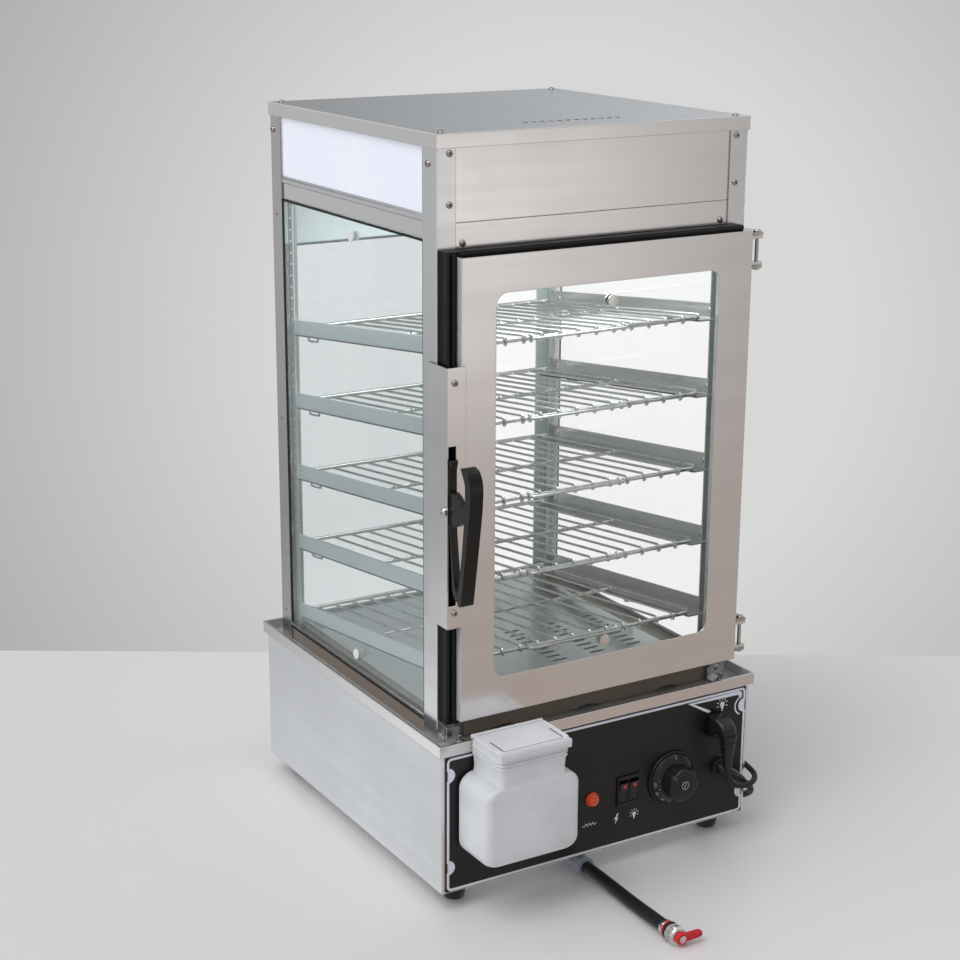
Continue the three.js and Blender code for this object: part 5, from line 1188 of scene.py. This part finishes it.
def make_vent_rims():
    """Dark raised ring round each vent hole of the cover."""
    shape = Shape()
    for i in range(12):
        shape.lathe([(2.9, 0), (2.9, 0.14), (2.6, 0.22), (1.75, 0.22), (1.75, 0), (2.9, 0)],
                    ((i - 5.5) * 9.6, -121.2, COVER_TOP), UPWARD, 20)
    shape.build("cover_vent_rims", "case", [dark_steel], sharp=30)


PANE_FACE = 173.5


def make_seals():
    """Black glazing seals round the side panes, bright channels beside them and at the lit panels."""
    shape = Shape()
    for side in (-1, 1):
        for out, y0, y1, z0, z1, mark in (
                (174.4, 155.4, 158.2, 182.4, 657.4, 0), (174.4, -142.2, 158.2, 182.3, 185.0, 0),
                (174.4, -142.2, 158.2, 654.9, 657.5, 0), (174.4, -142.2, -139.7, 182.4, 657.4, 0),
                (174.9, -142.1, 158.1, 185.1, 188.4, 1), (174.6, -142.1, 158.1, 674.3, 678.6, 1),
                (174.2, -142.1, 158.1, 678.8, 681.2, 1), (174.6, -142.1, -139.9, 681.3, 741.5, 1),
                (174.6, 155.9, 158.1, 681.3, 741.5, 1)):
            shape.box(side * out, side * PANE_FACE, y0, y1, z0, z1, mark)
    for z0, z1 in ((182.3, 185.0), (603.0, 605.6)):
        shape.box(-155, 155, 178.5, 179.3, z0, z1, 0)
    shape.box(-155, 155, 178.5, 179.6, 674.3, 678.6, 1)
    shape.build("glazing_seals", "case", [seal_rubber, steel_post], bevel=0.25, segments=1)


def make_gasket_beads():
    """Two rounded beads along the gasket where it shows beside and above the door."""
    shape = Shape()
    for x in (-171.2, -165.6):
        shape.tube([(x, -180.3, 191.6), (x, -181.3, 194), (x, -181.3, 646), (x, -180.3, 649)],
                   [0.9, 1.7, 1.7, 0.9], 10)
    shape.tube([(-160, -180.6, 647.9), (165, -180.6, 647.9)], 1.5, 10)
    shape.build("gasket_beads", "door", [seal_rubber])


def make_clamps():
    """Small brackets with a bolt that hold the cabinet in the drip tray's front corners."""
    shape = Shape()
    for side in (-1, 1):
        x0 = side * 166
        shape.box(x0, x0 - side * 15, -194.5, -169.0, 168.6, 170.2, 0)
        shape.box(x0, x0 - side * 15, -170.2, -168.7, 170.0, 182.5, 0)
        bolt = (x0 - side * 7.5, -183, 170.2)
        shape.lathe([(4.6, 0), (4.6, 3.2), (4.0, 3.8), (0, 3.8)], bolt, UPWARD, 6, 1)
        shape.lathe([(2.3, 3.6), (2.3, 9.2), (1.8, 9.8), (0, 9.8)], bolt, UPWARD, 16, 1)
        shape.lathe([(7.2, 0), (7.2, 1.0), (0, 1.0)], bolt, UPWARD, 24, 1)
    shape.build("tray_clamps", "case", [steel_post, screw_steel], bevel=0.3, segments=1, sharp=35)


def make_fold_highlights():
    """Painted highlight lines where the sheets of the cover and the front corner posts are folded."""
    shape = Shape()
    left, right, front, back, top = -176.6, 176.6, -169.6, 181.6, 754.7
    for start, end in (((left, front), (right, front)), ((left, front), (left, back)),
                       ((right, front), (right, back))):
        shape.tube([(*start, top), (*end, top)], 0.55, 6)
    for side in (-1, 1):
        shape.tube([(side * 175.0, -168.0, 183), (side * 175.0, -168.0, 741)], 0.5, 6)
    shape.build("case_fold_highlights", "case", [edge_highlight])


def make_hinge_trim():
    """Turned heads on the hinge pins and a washer under each."""
    shape = Shape()
    for centre in (218.5, 624.5):
        for end in (-1, 1):
            shape.lathe([(2, -2), (3.9, -0.2), (3.9, 0.9), (3.2, 1.7), (0, 1.9)],
                        (*HINGE_PIN, centre + end * 18.2), (0, 0, end), 20)
    shape.build("hinge_pin_heads", "case", [pin_steel], sharp=35)


# Printing on the control panel

def strip_line(shape, points, width, closed=False):
    """A flat printed line on the panel through (x, z) points."""
    count = len(points)
    left, right = [], []
    for i in range(count):
        before = Vector((*points[i - 1], 0)) if i or closed else Vector((*points[i], 0))
        after = Vector((*points[(i + 1) % count], 0)) if i + 1 < count or closed else Vector((*points[i], 0))
        here = Vector((*points[i], 0))
        a, b = (here - before), (after - here)
        a = a.normalized() if a.length > 1e-6 else b.normalized()
        b = b.normalized() if b.length > 1e-6 else a
        joint = (a + b).normalized()
        across = Vector((-joint.y, joint.x, 0))
        reach = width / 2 / max(0.5, across.dot(Vector((-a.y, a.x, 0))))
        left.append(here + across * reach)
        right.append(here - across * reach)
    y0, y1 = PANEL_Y - 0.18, INK_BACK
    rings = []
    for i in range(count):
        l, r = left[i], right[i]
        rings.append([(l.x, y0, l.y), (r.x, y0, r.y), (r.x, y1, r.y), (l.x, y1, l.y)])
    shape.loft(rings, closed=closed)


def arc(cx, cz, radius, start, end, steps=10):
    return [polar(cx, cz, radius, math.radians(start + (end - start) * i / steps)) for i in range(steps + 1)]


def panel_border(inset, notch):
    """Outline of the printed border with its rounded corners and its half-round notches."""
    half, low, high, corner = 182 - inset, 22 + inset, 165 - inset, 4.0
    points = arc(half - corner, high - corner, corner, 90, 0, 5)
    for z in (144.5, 46.5):
        points += arc(half, z, notch, 90, 270, 12)
    points += arc(half - corner, low + corner, corner, 0, -90, 5)
    points += arc(-half + corner, low + corner, corner, 270, 180, 5)
    for z in (48, 146):
        points += arc(-half, z, notch, -90, 90, 12)
    points += arc(-half + corner, high - corner, corner, 180, 90, 5)
    return points


def bulb_icon(shape, x, z, size):
    """A lit bulb: solid globe and cap with short rays round it."""
    foot = [(x + side * size * 0.14, z - size * 0.62) for side in (-1, 1)]
    shape.face(arc(x, z, size * 0.34, -50, 230, 18) + foot, INK_FRONT, INK_BACK)
    strip_line(shape, [(x - size * 0.12, z - size * 0.78), (x + size * 0.12, z - size * 0.78)], size * 0.13)
    for degrees in (-20, 20, 55, 90, 125, 160, 200):
        a = math.radians(degrees)
        strip_line(shape, [polar(x, z, size * share, a) for share in (0.56, 0.84)], size * 0.1)


def make_print():
    shape = Shape()
    strip_line(shape, panel_border(2.0, 6.4), 2.6, closed=True)
    for side, levels in ((-1, (48, 146)), (1, (46.5, 144.5))):
        for z in levels:
            fan = [(side * (180.4 - 6.0 * math.sin(math.radians(a))), z - 6.0 * math.cos(math.radians(a)))
                   for a in range(0, 181, 15)]
            shape.face(fan, INK_FRONT, INK_BACK)
    strip_line(shape, [(152, 136), (110, 159.4), (171.5, 159.4), (174.5, 158.5), (174.5, 153.5)], 4.0)
    strip_line(shape, arc(178.2, 144.5, 10.2, 112, 248, 12), 1.6)
    bulb_icon(shape, 151, 151, 8.6)
    bulb_icon(shape, 41.6, 52.6, 6.6)
    bolt = [(20.4, 57.6), (16.4, 51.4), (19.0, 51.8), (17.6, 46.2), (22.0, 53.2), (19.6, 52.9), (22.0, 57.6)]
    shape.face(bolt, INK_FRONT, INK_BACK)
    wave = [(-20.4 + 2.1 * i, 54 + (1.5 if i % 2 else -1.5)) for i in range(7)]
    strip_line(shape, [(-22.6, 54)] + wave + [(-5.6, 54)], 0.6)
    shape.build("panel_print", "case", [print_white])


for make in (make_screws, make_discs, make_vent_rims, make_seals, make_gasket_beads, make_clamps,
             make_fold_highlights, make_hinge_trim, make_print):
    make()


# Floor, backdrop and light

FLOOR_EDGE, FLOOR_HALF, FLOOR_DEPTH = 2.409, 14, 16  # in metres, the edge from the camera


def make_floor():
    """Pale floor that ends where the photograph's backdrop begins."""
    away = Vector((math.sin(YAW), math.cos(YAW), 0))
    across = Vector((math.cos(YAW), -math.sin(YAW), 0))
    camera = row(CAMERA_AT[0], CAMERA_AT[1], 0)
    edge = camera + away * FLOOR_EDGE
    points = [edge - across * FLOOR_HALF, edge + across * FLOOR_HALF,
              edge + across * FLOOR_HALF - away * FLOOR_DEPTH,
              edge - across * FLOOR_HALF - away * FLOOR_DEPTH]
    mesh = bpy.data.meshes.new("floor")
    mesh.from_pydata(points, [], [(0, 3, 2, 1)])
    made, n, shader = material("floor_pale", (0.79, 0.776, 0.781), 0.32, Specular_IOR_Level=0.35)
    mottle = n.noise(n.coords(), 3.0, 2.0)
    n.put(shader, "Roughness", n.spread(mottle, 0.28, 0.36, *NOISE_SPAN))
    mesh.materials.append(made)
    floor = bpy.data.objects.new("floor", mesh)
    bpy.context.scene.collection.objects.link(floor)
    floor.visible_glossy = False


GLOW_YAW, GLOW_LEVEL, GLOW_HEIGHT = YAW + 0.047, 0.979, -0.205  # where the backdrop is brightest
FRONT_BRIGHT, FLANK_BRIGHT, BRIGHT_REACH = (0.48, -0.865, -0.135), (-0.458, 0.785, -0.435), 0.165
SECOND_PANE = 2.5  # a pane has two faces, so a third one belongs to another pane
WALL_BRIGHT, WALL_DARK = (0.675, 0.677, 0.672), (0.45, 0.452, 0.44)
FLOOR_AWAY, BEHIND_PANES = (0.66, 0.648, 0.652), (1.20, 1.10, 1.13)


def make_world():
    """Soft light, a pale grey backdrop for the camera, bright and dark fields for the metal to mirror."""
    world = bpy.data.worlds.new("studio")
    bpy.context.scene.world = world
    world.use_nodes = True
    tree = world.node_tree
    n = Nodes(tree)
    background = tree.nodes["Background"]
    way = tree.nodes.new("ShaderNodeTexCoord").outputs["Generated"]
    split = tree.nodes.new("ShaderNodeSeparateXYZ")
    tree.links.new(way, split.inputs[0])
    height = split.outputs[2]
    path = tree.nodes.new("ShaderNodeLightPath")

    centre = Vector((math.sin(GLOW_YAW) * GLOW_LEVEL, math.cos(GLOW_YAW) * GLOW_LEVEL, GLOW_HEIGHT))
    offset = n.add("ShaderNodeVectorMath", {"operation": "DISTANCE"}, output=1, i0=way, i1=centre)
    wall = n.mix(n.spread(offset, 0.0, 1.0, 0.144, 0.32), rgba(WALL_BRIGHT), rgba(WALL_DARK))
    low = n.spread(height, 0.0, 1.0, -0.43, -0.40)
    seen = n.mix(low, rgba(FLOOR_AWAY), wall)
    behind_glass = n.math("GREATER_THAN", path.outputs["Transparent Depth"], SECOND_PANE)
    camera_side = n.mix(behind_glass, seen, rgba(BEHIND_PANES))

    across = n.add("ShaderNodeSeparateXYZ", output=0, Vector=way)
    depth = n.add("ShaderNodeSeparateXYZ", output=1, Vector=way)

    def nearness(point, low, high):
        away = n.add("ShaderNodeVectorMath", {"operation": "DISTANCE"}, output=1, i0=way, i1=Vector(point))
        return n.spread(away, high, low, 0.0, BRIGHT_REACH)

    cloud = n.noise(way, 2.6, 2.0)
    around = n.math("MULTIPLY", n.spread(height, 0.55, 0.85, -0.5, 0.7),
                    n.spread(cloud, 0.72, 1.22, *NOISE_SPAN))
    level = n.mix_value(n.spread(depth, 1.0, 0.0, -0.6, -0.35), around, nearness(FRONT_BRIGHT, 0.47, 1.34))
    sideways = n.math("MULTIPLY", n.spread(across, 1.0, 0.0, -0.32, -0.22),
                      n.spread(depth, 0.0, 1.0, 0.3, 0.5))
    flank = n.math("MAXIMUM", nearness(FLANK_BRIGHT, 0.30, 1.35),
                   n.spread(height, 0.34, 0.60, -0.31, -0.18))
    level = n.mix_value(sideways, level, flank)
    upward = n.math("MULTIPLY", n.spread(height, 0.0, 1.0, -0.03, 0.04), n.spread(depth, 0.0, 1.0, 0.45, 0.6))
    level = n.mix_value(upward, level, n.spread(across, 0.30, 0.64, 0.40, 0.64))
    ahead = n.spread(depth, 1.0, 0.0, -0.6, -0.2)
    glow = n.mix(n.spread(height, 0.0, 1.0, -0.42, -0.15), rgba((1.0, 0.83, 0.74)), rgba((1.0, 0.975, 0.965)))
    tone = n.mix(ahead, rgba((0.975, 0.99, 1.01)), glow)
    mirror = n.add("ShaderNodeVectorMath", {"operation": "SCALE"}, i0=tone, i3=level)
    even = n.mix(n.spread(across, 0.0, 1.0, -0.7, 0.5), rgba((1.30, 1.34, 1.42)), rgba((0.80, 0.81, 0.83)))
    even = n.mix(n.spread(depth, 1.0, 0.0, -0.9, 0.1), even, rgba((0.50, 0.50, 0.51)))
    glossy_or_even = n.mix(path.outputs["Is Glossy Ray"], even, mirror)
    color = n.mix(path.outputs["Is Camera Ray"], glossy_or_even, camera_side)
    tree.links.new(color, background.inputs["Color"])
    strength = n.mix_value(path.outputs["Is Camera Ray"],
                           n.mix_value(path.outputs["Is Glossy Ray"], 0.62, 1.0), 1.0)
    tree.links.new(strength, background.inputs["Strength"])


def make_lamp(name, place, target, size, power, color=(1, 1, 1)):
    data = bpy.data.lights.new(name, "AREA")
    data.shape, data.size, data.size_y = "RECTANGLE", size[0], size[1]
    data.energy, data.color = power, color
    lamp = bpy.data.objects.new(name, data)
    bpy.context.scene.collection.objects.link(lamp)
    aim = Vector(target) - Vector(place)
    lamp.location = place
    lamp.rotation_mode = "QUATERNION"
    lamp.rotation_quaternion = aim.to_track_quat("-Z", "Y")
    lamp.visible_camera = False


def make_lights():
    sun = bpy.data.lights.new("soft_sun", "SUN")
    sun.energy, sun.angle, sun.color = 1.1, math.radians(40), (1.0, 0.985, 0.96)
    lamp = bpy.data.objects.new("soft_sun", sun)
    bpy.context.scene.collection.objects.link(lamp)
    lamp.rotation_mode = "QUATERNION"
    lamp.rotation_quaternion = Vector((0.62, 0.2, -1.0)).to_track_quat("-Z", "Y")
    make_lamp("inside_lamp", row(0, 6, 672) - Vector((0, 0, 0.004)), row(0, 6, 200), (0.28, 0.26), 0.9,
              (0.95, 0.98, 1.0))


make_floor()
make_world()
make_lights()

scene = bpy.context.scene
scene.view_settings.view_transform = "Standard"
